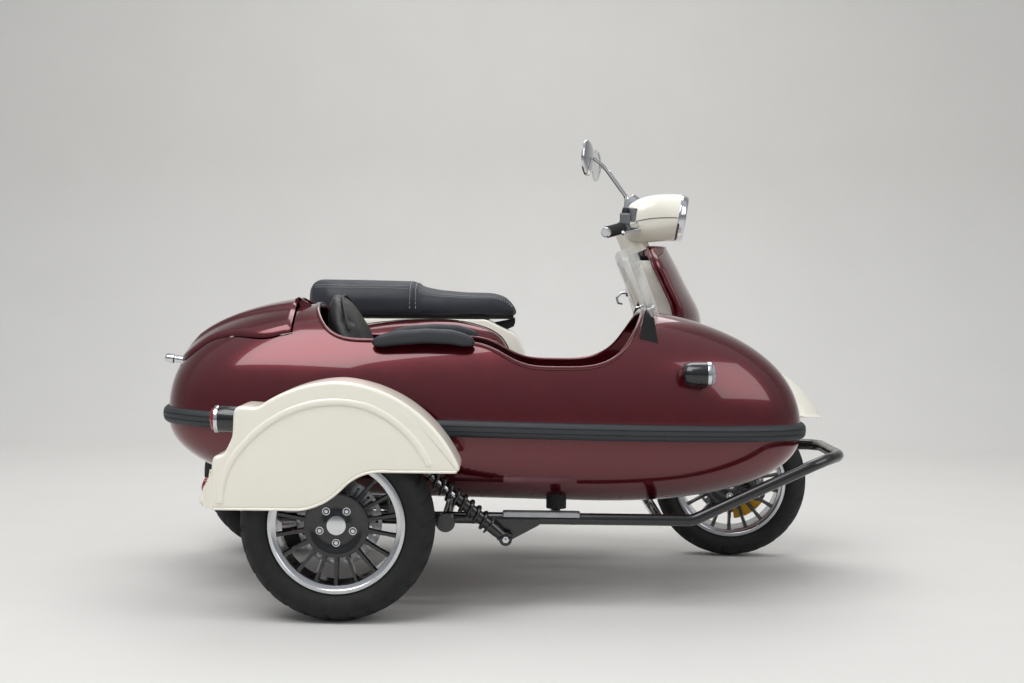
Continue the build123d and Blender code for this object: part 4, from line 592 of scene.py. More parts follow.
LID_TAIL, LID_FRONT = -126.0, 128.0
LID_TAIL_LONG, LID_TAIL_HALF = 60.0, 95.0
LID_GAP = 5.0


def lid_half(x, margin=0.0):
    """Half width of the boot lid at x: an elliptical tail, then a smooth step t t (3 - 2 t) to the full width."""
    x = np.asarray(x, float)
    t = np.clip((x - LID_TAIL) / 210.0, 0, 1)
    taper = LID_TAIL_HALF + 77.0 * t * t * (3 - 2 * t) + margin
    behind = (LID_TAIL - x) / (LID_TAIL_LONG + margin)
    tail = np.sqrt(np.clip(1 - behind**2, 0, 1)) * (LID_TAIL_HALF + margin)
    return np.where(x < LID_TAIL, tail, taper)


def lid_outline(margin):
    tail = LID_TAIL - (LID_TAIL_LONG + margin) * np.cos(np.linspace(0, np.pi / 2, 24))
    x = np.concatenate([tail, np.linspace(-118.0, 84.0, 24), [LID_FRONT + margin]])
    half = lid_half(x, margin)
    return np.concatenate([np.stack([x, TUB_Y - half], -1), np.stack([x, TUB_Y + half], -1)[::-1][:-1]])


# %% [markdown]
# The upper shell gets its wall first and its openings after, so the cut edges show their thickness. The
# cockpit is cut sideways by the rim line seen in the photograph, and the boot from above by the lid's
# outline with a five millimetre gap.

# %% Upper shell with its cockpit and boot openings
upper = piece("tub_upper_shell", [(home(shell(tub_height, UPPER_POWER, 1)), False, False, False)])
thicken(upper, TUB_WALL)
rim_line = rounded_route([(x, 0.0, z) for x, z in RIM_LINE], 14.0)[:, [0, 2]]
run = np.concatenate([[0], np.cumsum(np.linalg.norm(np.diff(rim_line, axis=0), axis=1))])
even = np.linspace(0, run[-1], int(run[-1] / 6.0))
rim_route = np.stack([np.interp(even, run, rim_line[:, n]) for n in (0, 1)], -1)
for step in range(3):
    rim_route[4:-4] = sum(rim_route[4 + k:len(rim_route) - 4 + k] for k in range(-4, 5)) / 9
cut_closed(upper, "cockpit_cutter", plate(rim_route, TUB_Y - 300.0, TUB_Y + 300.0))
cut_closed(upper, "boot_cutter", plate(lid_outline(LID_GAP), 480.0, 900.0, "z"))
settle(upper, BURGUNDY, "tub_upper")
print("upper shell faces:", len(upper.data.polygons))

hull = piece("tub_hull", [(home(shell(tub_depth, HULL_POWER, -1)), False, False, False)])
settle(thicken(hull, TUB_WALL), BURGUNDY, "tub_lower")

# %% [markdown]
# The rim of the cockpit is a rolled bead. It follows the cut edge, so its points are the rim line
# raised on to the shell: at each x the shell is as far out as its height there allows.

# %% Rolled bead round the cockpit
def rim_points(side):
    """Points where the rim line meets the shell: y from (1 - (rise / h)^p)^(1/p) b at each point of the line."""
    x, z = rim_route.T
    fine = np.linspace(0, 1, 240)
    run = np.concatenate([[0], np.cumsum(np.hypot(np.diff(x), np.diff(z)))])
    x, z = np.interp(fine * run[-1], run, x), np.interp(fine * run[-1], run, z)
    rise = (z - belt_z(x)) / tub_height(x)
    keep = rise < 0.9995
    x, z, rise = x[keep], z[keep], rise[keep]
    y = TUB_Y + side * tub_half(x) * (1 - rise**UPPER_POWER) ** (1 / UPPER_POWER)
    return np.stack([x, y, z], -1)


near_rim, far_rim = rim_points(-1), rim_points(1)
rim_loop = np.concatenate([near_rim, far_rim[::-1], near_rim[:1]])
make("cockpit_bead", [tube(rim_loop, 5.5, 12)], BURGUNDY)
print("rim points:", len(rim_loop))

# %% [markdown]
# The boot lid is a pressing that stands ten millimetres proud of the deck, with a broad raised rib
# down its middle. Its grid runs along the lid and across it, and its height is the deck's, grown by
# ten millimetres, plus a smooth step for the rib. Its edge turns down towards the deck.

# %% Boot lid
def lid_surface(drop, count=60, across=49):
    """Grid of the lid's top, lowered by drop: deck + edge step + rib, a logistic step of its distance out."""
    tail = LID_TAIL - LID_TAIL_LONG * np.cos(np.linspace(0.02, np.pi / 2, 20))
    x = np.concatenate([tail, np.linspace(LID_TAIL, LID_FRONT, count - 20)[1:]])[:, None]
    share = np.linspace(-1, 1, across)[None, :]
    y = TUB_Y + lid_half(x) * share
    inner = np.minimum(lid_half(x) * (1 - np.abs(share)), np.minimum(x - LID_TAIL + LID_TAIL_LONG, LID_FRONT - x))
    edge = np.clip(inner / 9.0, 0, 1)
    rib = 1 / (1 + np.exp((np.abs(y - TUB_Y) - 66.0 - 0.2 * x) / 3.4)) * np.clip((x + 176.0) / 40.0, 0, 1)
    z = deck_z(x, y, 4.0) + 6.0 * np.sqrt(1 - (1 - edge) ** 2) + 11.0 * rib - drop
    return xyz(x, y, z)


top, under = lid_surface(0.0), lid_surface(7.0)
sides = np.stack([np.concatenate([s[:, 0], s[-1, 1:], s[-2::-1, -1], s[0, -2:0:-1]]) for s in (top, under)])
lid_eye = [(131.0 + 6.0 * math.cos(t), 774.0 + 6.0 * math.sin(t)) for t in full_turn(20)]
lid_arm = [(101, 756), (101, 764), (127, 779), (131, 768)]
make("boot_lid_pressing", [(top, False, False, False), (under, False, False, False), (sides, False, True, False),
                           plate(lid_arm, TUB_Y - 38, TUB_Y + 38)], BURGUNDY, "boot_lid", body="boot_lid")
make("boot_lid_hinge_eye", [plate(lid_eye, TUB_Y - 40, TUB_Y + 40)], BURGUNDY, body="boot_lid")
ear = [(131, 780), (165, 760), (165, 750), (137, 750), (131, 768)]
ears = [plate(outline, middle - 4, middle + 4) for middle in (TUB_Y - 44.3, TUB_Y + 44.3) for outline in (lid_eye, ear)]
make("boot_hinge_ears", ears, BURGUNDY)
handle = [(-12, 0.1), (-12, 11), (16, 11), (19, 9.5), (23, 9.5), (26, 12.5), (44, 12.5), (48, 10), (49, 0.1)]
make("boot_lid_catch", [turned((LID_TAIL - LID_TAIL_LONG, TUB_Y, 606.0), (-1, 0, 0.12), handle, 40)], CHROME)

# %% [markdown]
# The belt moulding is an extruded rubber strip with two grooves, bent round the whole tub over the
# seam. Its section is carried round the plan outline, always square to it.

# %% Belt moulding
def belt_strip(section, turns=220):
    """Section points (out, up) added along the outline's normal at each turn of the plan curve."""
    t = np.linspace(0, np.pi, turns)
    x = (TUB_REAR + TUB_FRONT) / 2 - (TUB_FRONT - TUB_REAR) / 2 * np.cos(t)
    near = np.stack([x, TUB_Y - tub_half(x)], -1)
    far = np.stack([x, TUB_Y + tub_half(x)], -1)[::-1][1:-1]
    line = np.concatenate([near, far])
    run = np.roll(line, -1, 0) - np.roll(line, 1, 0)
    normal = np.stack([run[:, 1], -run[:, 0]], -1)
    normal /= np.linalg.norm(normal, axis=1)[:, None]
    out, rise = np.asarray(section, float).T
    xy = line[:, None] + normal[:, None] * out[None, :, None]
    z = belt_z(line[:, 0])[:, None] + rise[None, :]
    return np.concatenate([xy, z[..., None]], -1)


half_strip = [(-4, -21), (4.5, -21), (9, -18), (13, -12), (14, -8), (12.5, -7), (12.5, -6), (14.5, -5)]
strip = half_strip + [(out, -rise) for out, rise in half_strip[::-1]]
make("belt_strip", [(belt_strip(strip), True, True, False)], GREY_RUBBER, "rubber_trim", smooth=50)

# %% [markdown]
# Each armrest is a thick moulded pad that caps the rim beside the seat. Its section is a rounded slab,
# and its height and width fade out at both ends.

# %% Armrest pads
def arm_pad(side, count=48, around=24):
    """Rounded slab: section half sizes a, b scaled by (1 - |s|^6)^(1/2) along the pad's length."""
    s = np.linspace(-1, 1, count)
    x = 474.0 + 132.0 * s
    fade = np.sqrt(np.clip(1 - np.abs(s) ** 6, 0, 1))[:, None]
    top = np.interp(x, (342, 400, 480, 545, 606), (688, 700, 707, 705, 692))[:, None]
    t = full_turn(around)[None, :]
    y = TUB_Y + side * 226.0 + 23.0 * fade * squared(np.cos(t), 0.55)
    z = top - 20.0 + 19.0 * fade * squared(np.sin(t), 0.6)
    return (xyz(x[:, None], y, z), False, True, True)


make("armrest_pads", [arm_pad(-1), arm_pad(1)], GREY_RUBBER)

# %% [markdown]
# Both seats are foam under a sewn cover. Their plain solids give the place and size. Each starts as a
# slightly smaller shape that is remeshed, blown up a little by cloth pressure, and then gets its piping
# and seams on top, because the remesh would swallow them.

# %% Cloth pads
def puffed(obj, voxel=0.006, pressure=4.0, cap=0.012):
    """Remesh, then let cloth pressure move each point, by cap metres at most, and smooth the result."""
    add_modifier(obj, "REMESH", mode="VOXEL", voxel_size=voxel)
    bpy.context.view_layer.update()
    bake(obj, 80.0)
    before = np.zeros(len(obj.data.vertices) * 3)
    obj.data.vertices.foreach_get("co", before)
    cloth = obj.modifiers.new("Cloth", "CLOTH")
    cloth.settings.use_pressure = True
    cloth.settings.uniform_pressure_force = pressure
    cloth.settings.effector_weights.gravity = 0.0
    cloth.settings.quality = 5
    for step in range(1, 15):
        bpy.context.scene.frame_set(step)
    made = obj.evaluated_get(bpy.context.evaluated_depsgraph_get())
    after = np.zeros_like(before)
    made.data.vertices.foreach_get("co", after)
    bpy.context.scene.frame_set(1)
    obj.modifiers.clear()
    move = (after - before).reshape(-1, 3)
    length = np.linalg.norm(move, axis=1)[:, None]
    move *= np.minimum(1.0, cap / np.maximum(length, 1e-9))
    obj.data.vertices.foreach_set("co", (before.reshape(-1, 3) + move).ravel())
    add_modifier(obj, "SMOOTH", factor=0.5, iterations=6)
    add_modifier(obj, "SUBSURF", levels=1, render_levels=1)
    bpy.context.view_layer.update()
    bake(obj, 80.0)
    return obj


def slab(x_low, x_high, half, low, high, power=5.0, count=40, around=48):
    """Cushion block: plan and side both superellipses, z between low and high by (1 - r^p)^(1/p) at each ring."""
    t = full_turn(around)[None, :]
    r = np.sin(np.linspace(0.02, np.pi - 0.02, count))[:, None] ** 0.4
    z = np.linspace(low, high, count)[:, None]
    x = (x_low + x_high) / 2 + (x_high - x_low) / 2 * r * squared(np.cos(t), 2 / power)
    y = TUB_Y + half * r * squared(np.sin(t), 2 / power)
    return (xyz(x, y, z), False, True, True)


cushion = piece("sidecar_cushion", [(home(slab(298, 754, 194, 340, 444)[0]), False, True, True)])
puffed(cushion)
settle(cushion, LEATHER, "sidecar_seat_cushion")


BACK_HALF, BACK_FOOT_Z, BACK_TOP_Z = 184.0, 452.0, 792.0


def back_profile(y):
    """Top of the seat back at y, an arch, and the share of its thickness, which shrinks to its edges."""
    share = np.clip(np.abs(y - TUB_Y) / BACK_HALF, 0, 1)
    return BACK_TOP_Z - 205.0 * (1 - np.sqrt(1 - 0.985 * share**2.6)), 1 - 0.5 * share**4


def seat_back(count=44, across=45):
    """Closed grid: around the pad's side outline, then across the seat from one edge to the other."""
    y = TUB_Y + BACK_HALF * np.sin(np.linspace(-np.pi / 2, np.pi / 2, across))
    top, thick = back_profile(y)
    t = full_turn(count)
    up = 0.5 + 0.5 * squared(np.sin(t), 0.6)
    fore = squared(np.cos(t), 0.8)
    z = BACK_FOOT_Z + (top[:, None] - BACK_FOOT_Z) * up[None, :]
    middle = np.interp(z, (452, 640, 790), (298, 284, 224))
    x = middle + fore[None, :] * np.interp(z, (452, 700, 790), (42, 40, 30)) * thick[:, None]
    return (xyz(x, y[:, None], z), False, True, True)


back = piece("sidecar_back_pad", [(home(seat_back()[0]), False, True, True)])
puffed(back, cap=0.007)
settle(back, LEATHER, "sidecar_seat_back")
arch = TUB_Y + 170.0 * np.sin(np.linspace(-1.2, 1.2, 60))
arch_top = back_profile(arch)[0]
piping = xyz(np.interp(arch_top, (600, 790), (316, 248)), arch, arch_top - 7.0)
make("seat_back_piping", [tube(piping, 3.5, 10)], LEATHER)
print("cushion points:", len(cushion.data.vertices), "back points:", len(back.data.vertices))

# %% [markdown]
# The screen is a sheet of clear acrylic bent round one upright curve and leant back. Its section is an
# arc through its middle and both edges, carried up along the lean. It is held by two steel brackets
# with a bolt each.

# %% Windscreen, brackets and bolts
LEAN = math.radians(21.0)
SCREEN_FOOT_X, SCREEN_FOOT_Z = 1092.0, 752.0
SCREEN_HALF, SCREEN_TALL, SCREEN_CORNER = 221.0, 189.0, 30.0
SAG_R = (222.0**2 + 42.0**2) / 84.0
BRACKET_OUT, BRACKET_BEHIND = 165.0, 4.3


def screen_point(out, rise, behind=0.0):
    """Foot + sag back along the lean's square + rise up the lean, at a distance out from the middle."""
    out = np.asarray(out, float)
    sag = SAG_R - np.sqrt(SAG_R**2 - out**2) + behind
    x = SCREEN_FOOT_X - sag * math.cos(LEAN) - rise * math.sin(LEAN)
    z = SCREEN_FOOT_Z - sag * math.sin(LEAN) + rise * math.cos(LEAN)
    return xyz(x, TUB_Y + out, z)


across = np.linspace(-1, 1, 64)[None, :]
rise = np.linspace(0, 1, 24)[:, None]
tall = rise * SCREEN_TALL
into_corner = np.maximum(tall - SCREEN_TALL + SCREEN_CORNER, SCREEN_CORNER - tall) / SCREEN_CORNER
inset = SCREEN_CORNER * (1 - np.sqrt(np.clip(1 - np.clip(into_corner, 0, 1) ** 2, 0, 1)))
face = screen_point(across * (SCREEN_HALF - inset), tall)
screen = piece("screen_sheet", [(home(face), False, False, False)], outward=False)
settle(thicken(screen, 0.004, 0.0), ACRYLIC, "windscreen")

brackets, bolts = [], []
bolt = [(-12, 0.1), (-12, 5), (-7, 5), (-7, 3), (5, 3), (5, 6.5), (9, 6), (11, 3), (11.3, 0.1)]
for side in (-1, 1):
    out = side * BRACKET_OUT
    low, high = (screen_point(side * (BRACKET_OUT + 2.5), rise, BRACKET_BEHIND) for rise in (0.0, 38.0))
    feet = [(x, deck_z(x, TUB_Y + out) - 3) for x in (1030.0, 1078.0)]
    outline = feet + [(low[0], low[2]), (high[0], high[2]), (1040, 748)]
    brackets.append(plate(outline, TUB_Y + out - 2.5, TUB_Y + out + 2.5))
    seat = screen_point(out, 22.0, BRACKET_BEHIND)
    bolts.append(turned(seat, (math.cos(LEAN), 0, math.sin(LEAN)), bolt, 24))
make("screen_brackets", brackets, BLACK_PAINT, "windscreen_brackets")
make("screen_bolts", bolts, CHROME)

# %% [markdown]
# Two round lamps serve the sidecar. Each is a turned shell with a chrome ring and a moulded lens: clear
# towards the front on the tub's flank, red towards the rear on the mudguard.

# %% Sidecar lamps
FRONT_SHELL = [(1140, 0.1), (1140, 22), (1144, 27), (1160, 31), (1196, 32), (1204, 32)]
FRONT_RING = [(1200, 30), (1200, 33), (1204, 34), (1209, 33.5), (1211, 31), (1211, 28), (1206, 27), (1200, 30)]
FRONT_LENS = [(1205, 0.1), (1205, 29), (1211, 29), (1217, 25), (1221, 16), (1222, 0.1)]
REAR_SHELL = [(36.6, 0.1), (36.6, 31), (20, 32), (-10, 32), (-12, 31)]
REAR_RING = [(-8, 30), (-8, 33), (-12, 34), (-17, 33), (-18, 29), (-8, 30)]
REAR_LENS = [(-14, 0.1), (-14, 29), (-19, 29), (-25, 25), (-28.5, 14), (-29, 0.1)]
for name, y, z, profiles, lens_look, stands_for in (
    ("flank_lamp", -747.0, 596.0, (FRONT_SHELL, FRONT_RING, FRONT_LENS), LAMP_GLASS, ("sidecar_lamps",)),
    ("tail_lamp", -950.0, 486.0, (REAR_SHELL, REAR_RING, REAR_LENS), RED_LENS, ()),
):
    shell_part, ring_part, lens_part = ([turned((0.0, y, z), (1, 0, 0), profile, 48)] for profile in profiles)
    make(name + "_shell", shell_part, BLACK_PAINT, *stands_for)
    make(name + "_ring", ring_part, CHROME)
    make(name + "_lens", lens_part, lens_look)

# %% [markdown]
# The sidecar's mudguard is one pressing: a flat side with a raised lip round the wheel, and a band over
# the top. The side is filled inside its outline, and its edge rolls over into the band through a
# quarter circle. The notched part of the outline at the tail carries the lamp.

# %% Sidecar mudguard
GUARD_FACE_Y, GUARD_DEEP_Y = -1025.5, -868.5
guard_line = np.concatenate([
    arcs([(200, 276), (258, 296), (298, 328), (346, 362), (402, 370)], 10),
    [(575.0, 370.0)],
    arcs([(582, 377), (491, 503), (291, 586), (190, 570), (96, 521)], 22),
    [(48.0, 524.0), (39.0, 516.0), (37.0, 450.0), (17.0, 408.0), (-10.0, 404.0), (-15.0, 350.0), (-45.0, 300.0),
     (-40.0, 284.0), (-12.0, 276.0)],
])


def guard_rings(outline, edge_r=10.0, steps=7):
    """Rings from the flat side to the band: inset by r (1 - sin t) and set in by r (1 - cos t), then straight in."""
    ahead, behind = np.roll(outline, -1, 0), np.roll(outline, 1, 0)
    run = ahead - behind
    normal = np.stack([-run[:, 1], run[:, 0]], -1)
    normal /= np.linalg.norm(normal, axis=1)[:, None]
    area = np.sum(outline[:, 0] * ahead[:, 1] - ahead[:, 0] * outline[:, 1])
    inward = normal if area > 0 else -normal
    rings = []
    for t in np.linspace(np.pi / 2, 0, steps):
        flat = outline + inward * edge_r * (1 - np.cos(t))
        rings.append(xyz(flat[:, 0], GUARD_FACE_Y + edge_r * (1 - np.sin(t)), flat[:, 1]))
    return np.array(rings + [xyz(flat[:, 0], GUARD_DEEP_Y, flat[:, 1])])


def evened(line, spacing=4.0, passes=2):
    """Closed outline resampled at even steps, its corners softened by a moving average over five points."""
    line = np.concatenate([line, line[:1]])
    run = np.concatenate([[0], np.cumsum(np.linalg.norm(np.diff(line, axis=0), axis=1))])
    at = np.linspace(0, run[-1], int(run[-1] / spacing), endpoint=False)
    even = np.stack([np.interp(at, run, line[:, n]) for n in (0, 1)], -1)
    for step in range(passes):
        even = sum(np.roll(even, k, 0) for k in (-2, -1, 0, 1, 2)) / 5
    return even


guard_line = evened(guard_line)
rings = guard_rings(guard_line)
guard = piece("mudguard_side", [(home(rings), False, True, False)], outward=False)
with editing(guard.data) as shape:
    side_y = min(v.co.y for v in shape.verts)
    edge_loop = [e for e in shape.edges if e.is_boundary and all(abs(v.co.y - side_y) < 1e-5 for v in e.verts)]
    bmesh.ops.contextual_create(shape, geom=edge_loop)
    middles = {face: face.calc_center_median() for face in shape.faces}
    open_below = [f for f, middle in middles.items() if middle.y > side_y + 0.0165 and middle.z < 0.3701]
    bmesh.ops.delete(shape, geom=open_below, context="FACES")
    bmesh.ops.triangulate(shape, faces=[f for f in shape.faces if len(f.verts) > 4])
    bmesh.ops.recalc_face_normals(shape, faces=shape.faces)
    flat_face = min(shape.faces, key=lambda f: f.calc_center_median().y)
    if flat_face.normal.y > 0:
        bmesh.ops.reverse_faces(shape, faces=shape.faces)
settle(thicken(guard, 0.003), CREAM, "sidecar_mudguard")
lip = arcs([(9, 293), (15, 343), (58, 424), (119, 482), (199, 523), (280, 536), (360, 525), (448, 469), (506, 389)], 14)
lip = xyz(lip[:, 0], GUARD_FACE_Y + 0.6, lip[:, 1])
make("mudguard_lip", [tube(lip, 9.0, 16, 0.5)], CREAM)
low = guard_line[(guard_line[:, 1] < 372) & (guard_line[:, 0] > -30)]
low = low[np.argsort(low[:, 0])]
hem = xyz(low[:, 0], GUARD_FACE_Y + 2.0, low[:, 1] + 1.5)
make("mudguard_hem", [tube(hem, 3.2, 10)], CREAM)
reflector = [(-3, 0.1), (-3, 17), (3, 17), (5, 14), (6, 0.1)]
make("mudguard_reflector", [turned((-33.0, -990.0, 332.0), (-0.9, 0.0, 0.25), reflector, 32)], RED_LENS)
print("mudguard faces:", len(guard.data.polygons))

# %% [markdown]
# The sidecar's frame is bent from one steel tube that runs under the tub and loops round the nose, with
# cross tubes welded in. The routes are the same straight runs and bends as on the solid, but each bend
# gets enough rings to look round.

# %% Sidecar frame, swingarm and struts
FRAME_Z, TUBE_R, CROSS_R = 227.0, 15.0, 14.0
near_y, far_y = TUB_Y - 252.0, TUB_Y + 252.0
arm_y, stay_y = -863.0, -859.7
near_half = [(60, near_y, FRAME_Z), (1165, near_y, FRAME_Z), (1502, near_y + 40, 378), (1562, near_y + 120, 383)]
loop = near_half + [(x, 2 * TUB_Y - y, z) for x, y, z in near_half[::-1]]
frame_tubes = [tube(rounded_route(loop, (70.0, 105.0, 105.0, 105.0, 105.0, 70.0), 16), TUBE_R, 28)]
cross_tubes = [((x, near_y, FRAME_Z), (x, far_y, FRAME_Z)) for x in (80.0, 540.0, 820.0, 1080.0)]
cross_tubes.append(((540, near_y, FRAME_Z), (540, -850.7, FRAME_Z)))
frame_tubes += [tube(route, CROSS_R, 24) for route in cross_tubes]
for x in (110.0, 400.0):
    stay = [(x, near_y, FRAME_Z), (x, near_y, 307), (x, stay_y, 342), (x, stay_y, 480)]
    frame_tubes.append(tube(rounded_route(stay, 18.0), 8.0, 18))
gusset = rounded_outline([(720, FRAME_Z), (800, FRAME_Z), (700, 172), (670, 172), (640, FRAME_Z)], 8.0)
frame_tubes.append(plate(gusset, near_y - 19.0, near_y - 9.0))
frame_tubes.append(tube([(690, near_y - 12, 182), (690, -818.7, 182)], 11.0, 20))
make("sidecar_frame_tubes", frame_tubes, BLACK_PAINT, "sidecar_frame", smooth=60)
plug = [(-4, 12), (0.2, 14.6), (3, 13), (4, 9), (4.4, 0.1)]
make("frame_end_plugs", [turned((60.0, y, FRAME_Z), (-1, 0, 0), plug, 28) for y in (near_y, far_y)], BLACK_RUBBER)

arm = [tube([(540, arm_y, FRAME_Z), (283, arm_y, 236.4)], 11.0, 24)]
arm += [eye((x, arm_y, z), 24.0) for x, z in ((540, FRAME_Z), (283, 236.4))]
shock_plate = rounded_outline([(425, 222), (470, 222), (484, 376), (452, 376), (380, 222)], 10.0)
arm.append(plate(shock_plate, arm_y + 9.7, arm_y + 15.7))
arm.append(tube([(283, arm_y, 236.4), (283, -980, 236.4)], 12.0, 24))
make("swingarm_welded", arm, BLACK_PAINT, "sidecar_swingarm")

struts = []
clamp = [(-8, 13), (-8, 15.5), (-6, 17), (6, 17), (8, 15.5), (8, 13)]
for x in (380.0, 980.0):
    struts.append(tube([(x, far_y + 15.3, FRAME_Z), (x, -92.3, 262)], 13.0, 24))
    struts += [turned((x, y, z), (0, 1, 0.184), clamp, 32) for y, z in ((far_y + 24.0, 228.8), (-104.0, 260.0))]
make("strut_tubes", struts, BLACK_PAINT, "link_struts")
copied("tub_mounts", BLACK_RUBBER, bevel_mm=2.0)

# %% [markdown]
# A coil-over damper is a body, a bright rod, two cups and a real helical spring. The helix is a circle
# carried along x = r cos t, y = r sin t, height proportional to t, about the line between the eyes.

# %% Dampers
def coil_over(low, high, y, body_r, coil_r, wire_r, turns=8):
    """Spring, body, rod and bolts of a damper between two (x, z) eyes, as four lists of sheets."""
    start, end = np.array([low[0], y, low[1]]), np.array([high[0], y, high[1]])
    line = end - start
    length = np.linalg.norm(line)
    line = line / length
    u = np.array([0.0, 1.0, 0.0])
    v = np.cross(line, u)
    t = np.linspace(0, 2 * np.pi * turns, 20 * turns)
    height = length * (0.215 + 0.625 * t / t[-1])
    helix = start + height[:, None] * line + coil_r * (np.cos(t)[:, None] * u + np.sin(t)[:, None] * v)
    spring = [tube(helix, wire_r, 10)]
    case_r, cup_r, eye_r = body_r + 2.5, coil_r + wire_r, body_r + 4
    case = [(length * 0.03, 0.1), (length * 0.03, body_r), (length * 0.12, case_r), (length * 0.56, case_r),
            (length * 0.57, 8), (length * 0.57, 0.1)]
    body = [turned(start, line, case, 32)]
    for foot in (length * 0.18, length * 0.86):
        cup = [(0, 0.1), (0, cup_r - 1), (1, cup_r), (4, cup_r), (5, coil_r), (5, 0.1)]
        body.append(turned(start, line, [(foot + rise, r) for rise, r in cup], 40))
    rim = [(-14, 0.1), (-14, eye_r - 2), (-12.5, eye_r), (12.5, eye_r), (14, eye_r - 2), (14, 0.1)]
    body += [turned(end_point, (0, 1, 0), rim, 36) for end_point in (start, end)]
    rod = [turned(start, line, [(length * 0.55, 0.1), (length * 0.55, 7), (length * 0.97, 7), (length * 0.97, 0.1)],
                  24)]
    nut = [(10, 0.1), (14, 9), (19, 9), (20, 8), (20, 5), (24, 5), (25, 0.1)]
    return spring, body, rod, [turned(end_point, (0, -1, 0), nut, 6) for end_point in (start, end)]


side_unit = coil_over((690.0, 182.0), (470.0, 362.0), -833.0, 12.5, 20.0, 4.6)
rear_unit = coil_over((-12.0, 316.8), (-30.0, 565.0), 105.0, 13.0, 20.0, 4.4)
make("damper_springs", side_unit[0] + rear_unit[0], BLACK_PAINT, "dampers")
make("damper_bodies", side_unit[1] + rear_unit[1], BLACK_PAINT)
make("damper_rods", side_unit[2] + rear_unit[2], CHROME)
make("damper_bolts", side_unit[3], CHROME, smooth=25)

# %% [markdown]
# The step is a folded tread plate of bright steel, with rows of raised bars that keep a shoe from
# slipping. A bar is a strip that narrows towards its top.

# %% Step plate
STEP_TOP_Z = 245.0
tread = [plate(rounded_box((682, near_y - 27), (878, near_y + 19), 8.0), STEP_TOP_Z - 2.7, STEP_TOP_Z, "z")]
for x in np.linspace(692, 868, 23):
    bar = [(1.6, near_y - 22, STEP_TOP_Z - 0.2), (1.0, near_y - 21, STEP_TOP_Z + 1.2),
           (1.0, near_y + 13, STEP_TOP_Z + 1.2), (1.6, near_y + 14, STEP_TOP_Z - 0.2)]
    tread.append((np.array([[(x - wide, y, z), (x + wide, y, z)] for wide, y, z in bar], float), False, False, False))
tread.append(plate([(684, 234), (876, 234), (876, STEP_TOP_Z), (684, STEP_TOP_Z)], near_y - 27.4, near_y - 25.6))
make("step_tread", tread, STEEL, "step_plate", smooth=25)

# %% [markdown]
# A wheel is a tyre, a rim and its hub. The tyre's profile is turned about the axle, and the tread is a
# depth taken off wherever a pattern of slanted grooves says so. The cast rim has a bright turned lip,
# eighteen thin black spokes, a drilled brake disc behind them, and a hub with five lug rings and a cap.

# %% Wheels
OUTER = -1
BEAD_R, RIM_R, BEAD_HALF = 167.5, 152.7, 36.7
SPOKE_OUT, LUG_CIRCLE, VALVE_ANGLE, DISC_ALONG = 21.0, 42.0, 0.9, 25.0
BARREL = [(-43.5, 144.6), (-43.5, 165), (-42, 166.4), (-38.5, 166.4), (-37.2, 165), (-36.9, 152.6), (36.9, 152.6),
          (37.2, 165), (38.5, 166.4)]
LIP = [(38.5, 166.4), (42.5, 166.4), (43.5, 165), (43.5, 157), (41.5, 155), (40.5, 148), (39.5, 146), (34, 145)]
INNER = [(34, 145), (10, 144.6), (-10, 144.6), (-43.5, 144.6)]
HUB = [(21, 74), (21, 78.2), (22, 79), (34.5, 79), (36.6, 77.5), (37, 75), (37, 62), (35.6, 60), (35.6, 30), (37, 28),
       (37, 14), (37, 0.1)]
BOSS = [(-37, 12.1), (-37, 28), (-35, 30), (18, 30), (20, 40), (21, 74)]
CAP = [(-1, 24), (0.5, 24), (2.4, 23), (2.9, 20), (3.0, 0.1)]
LUG_RING = [(-1, 10), (0, 10), (1.5, 9.6), (1.5, 7.4), (-0.5, 6.8)]
LUG_NUT = [(-3, 0.1), (-3, 5.6), (1.6, 5.6), (2.6, 4.6), (2.9, 0.1)]
VALVE = [(-2, 0.1), (-2, 4), (10, 3.4), (24, 3), (26, 0.1)]
DISC = [(0.2, 30.5), (0.2, 104.0), (0.8, 105), (3.2, 105), (3.8, 104.0), (3.8, 30.5), (0.2, 30.5)]
DRILL, DRILL_RINGS = [(0, 0.05), (0, 4), (10, 4), (10, 0.05)], ((92.0, 0.0), (78.0, 10.0))


def tyre_grid(centre, radius, width, around=300):
    """Turned tyre profile minus a groove depth: a centre rib pair of channels and slanted shoulder cuts."""
    half = width / 2
    outer = arcs([(half - 6, radius - 22), (0, radius), (-half + 6, radius - 22)], 34)
    left = arcs([(-half + 6, radius - 22), (-half, radius - 44), (-BEAD_HALF, BEAD_R)], 14)[1:]
    right = arcs([(BEAD_HALF, BEAD_R), (half, radius - 44), (half - 6, radius - 22)], 14)[:-1]
    profile = np.concatenate([[(BEAD_HALF, RIM_R)], right, outer, left, [(-BEAD_HALF, RIM_R)]])
    t = full_turn(around)[:, None]
    along, r = profile[:, 0][None, :], profile[:, 1][None, :]
    on_tread = r > radius - 36.0
    wave = np.cos(26 * t + 0.055 * np.abs(along) + np.where(along > 0, 0.0, np.pi))
    slant = (wave > 0.78) & (np.abs(along) > 10.0)
    channel = (np.abs(np.abs(along) - 7.5) < 2.4)
    depth = 4.2 * (on_tread & (slant | channel)) * np.clip((r - radius + 40.0) / 12.0, 0.25, 1)
    ribs = 0.5 * np.cos(2 * np.pi * (r - 170.0) / 7.0) * ((r > 172.0) & (r < radius - 34.0))
    r = r - depth + ribs
    return np.asarray(centre, float) + xyz(r * np.cos(t), along, r * np.sin(t))


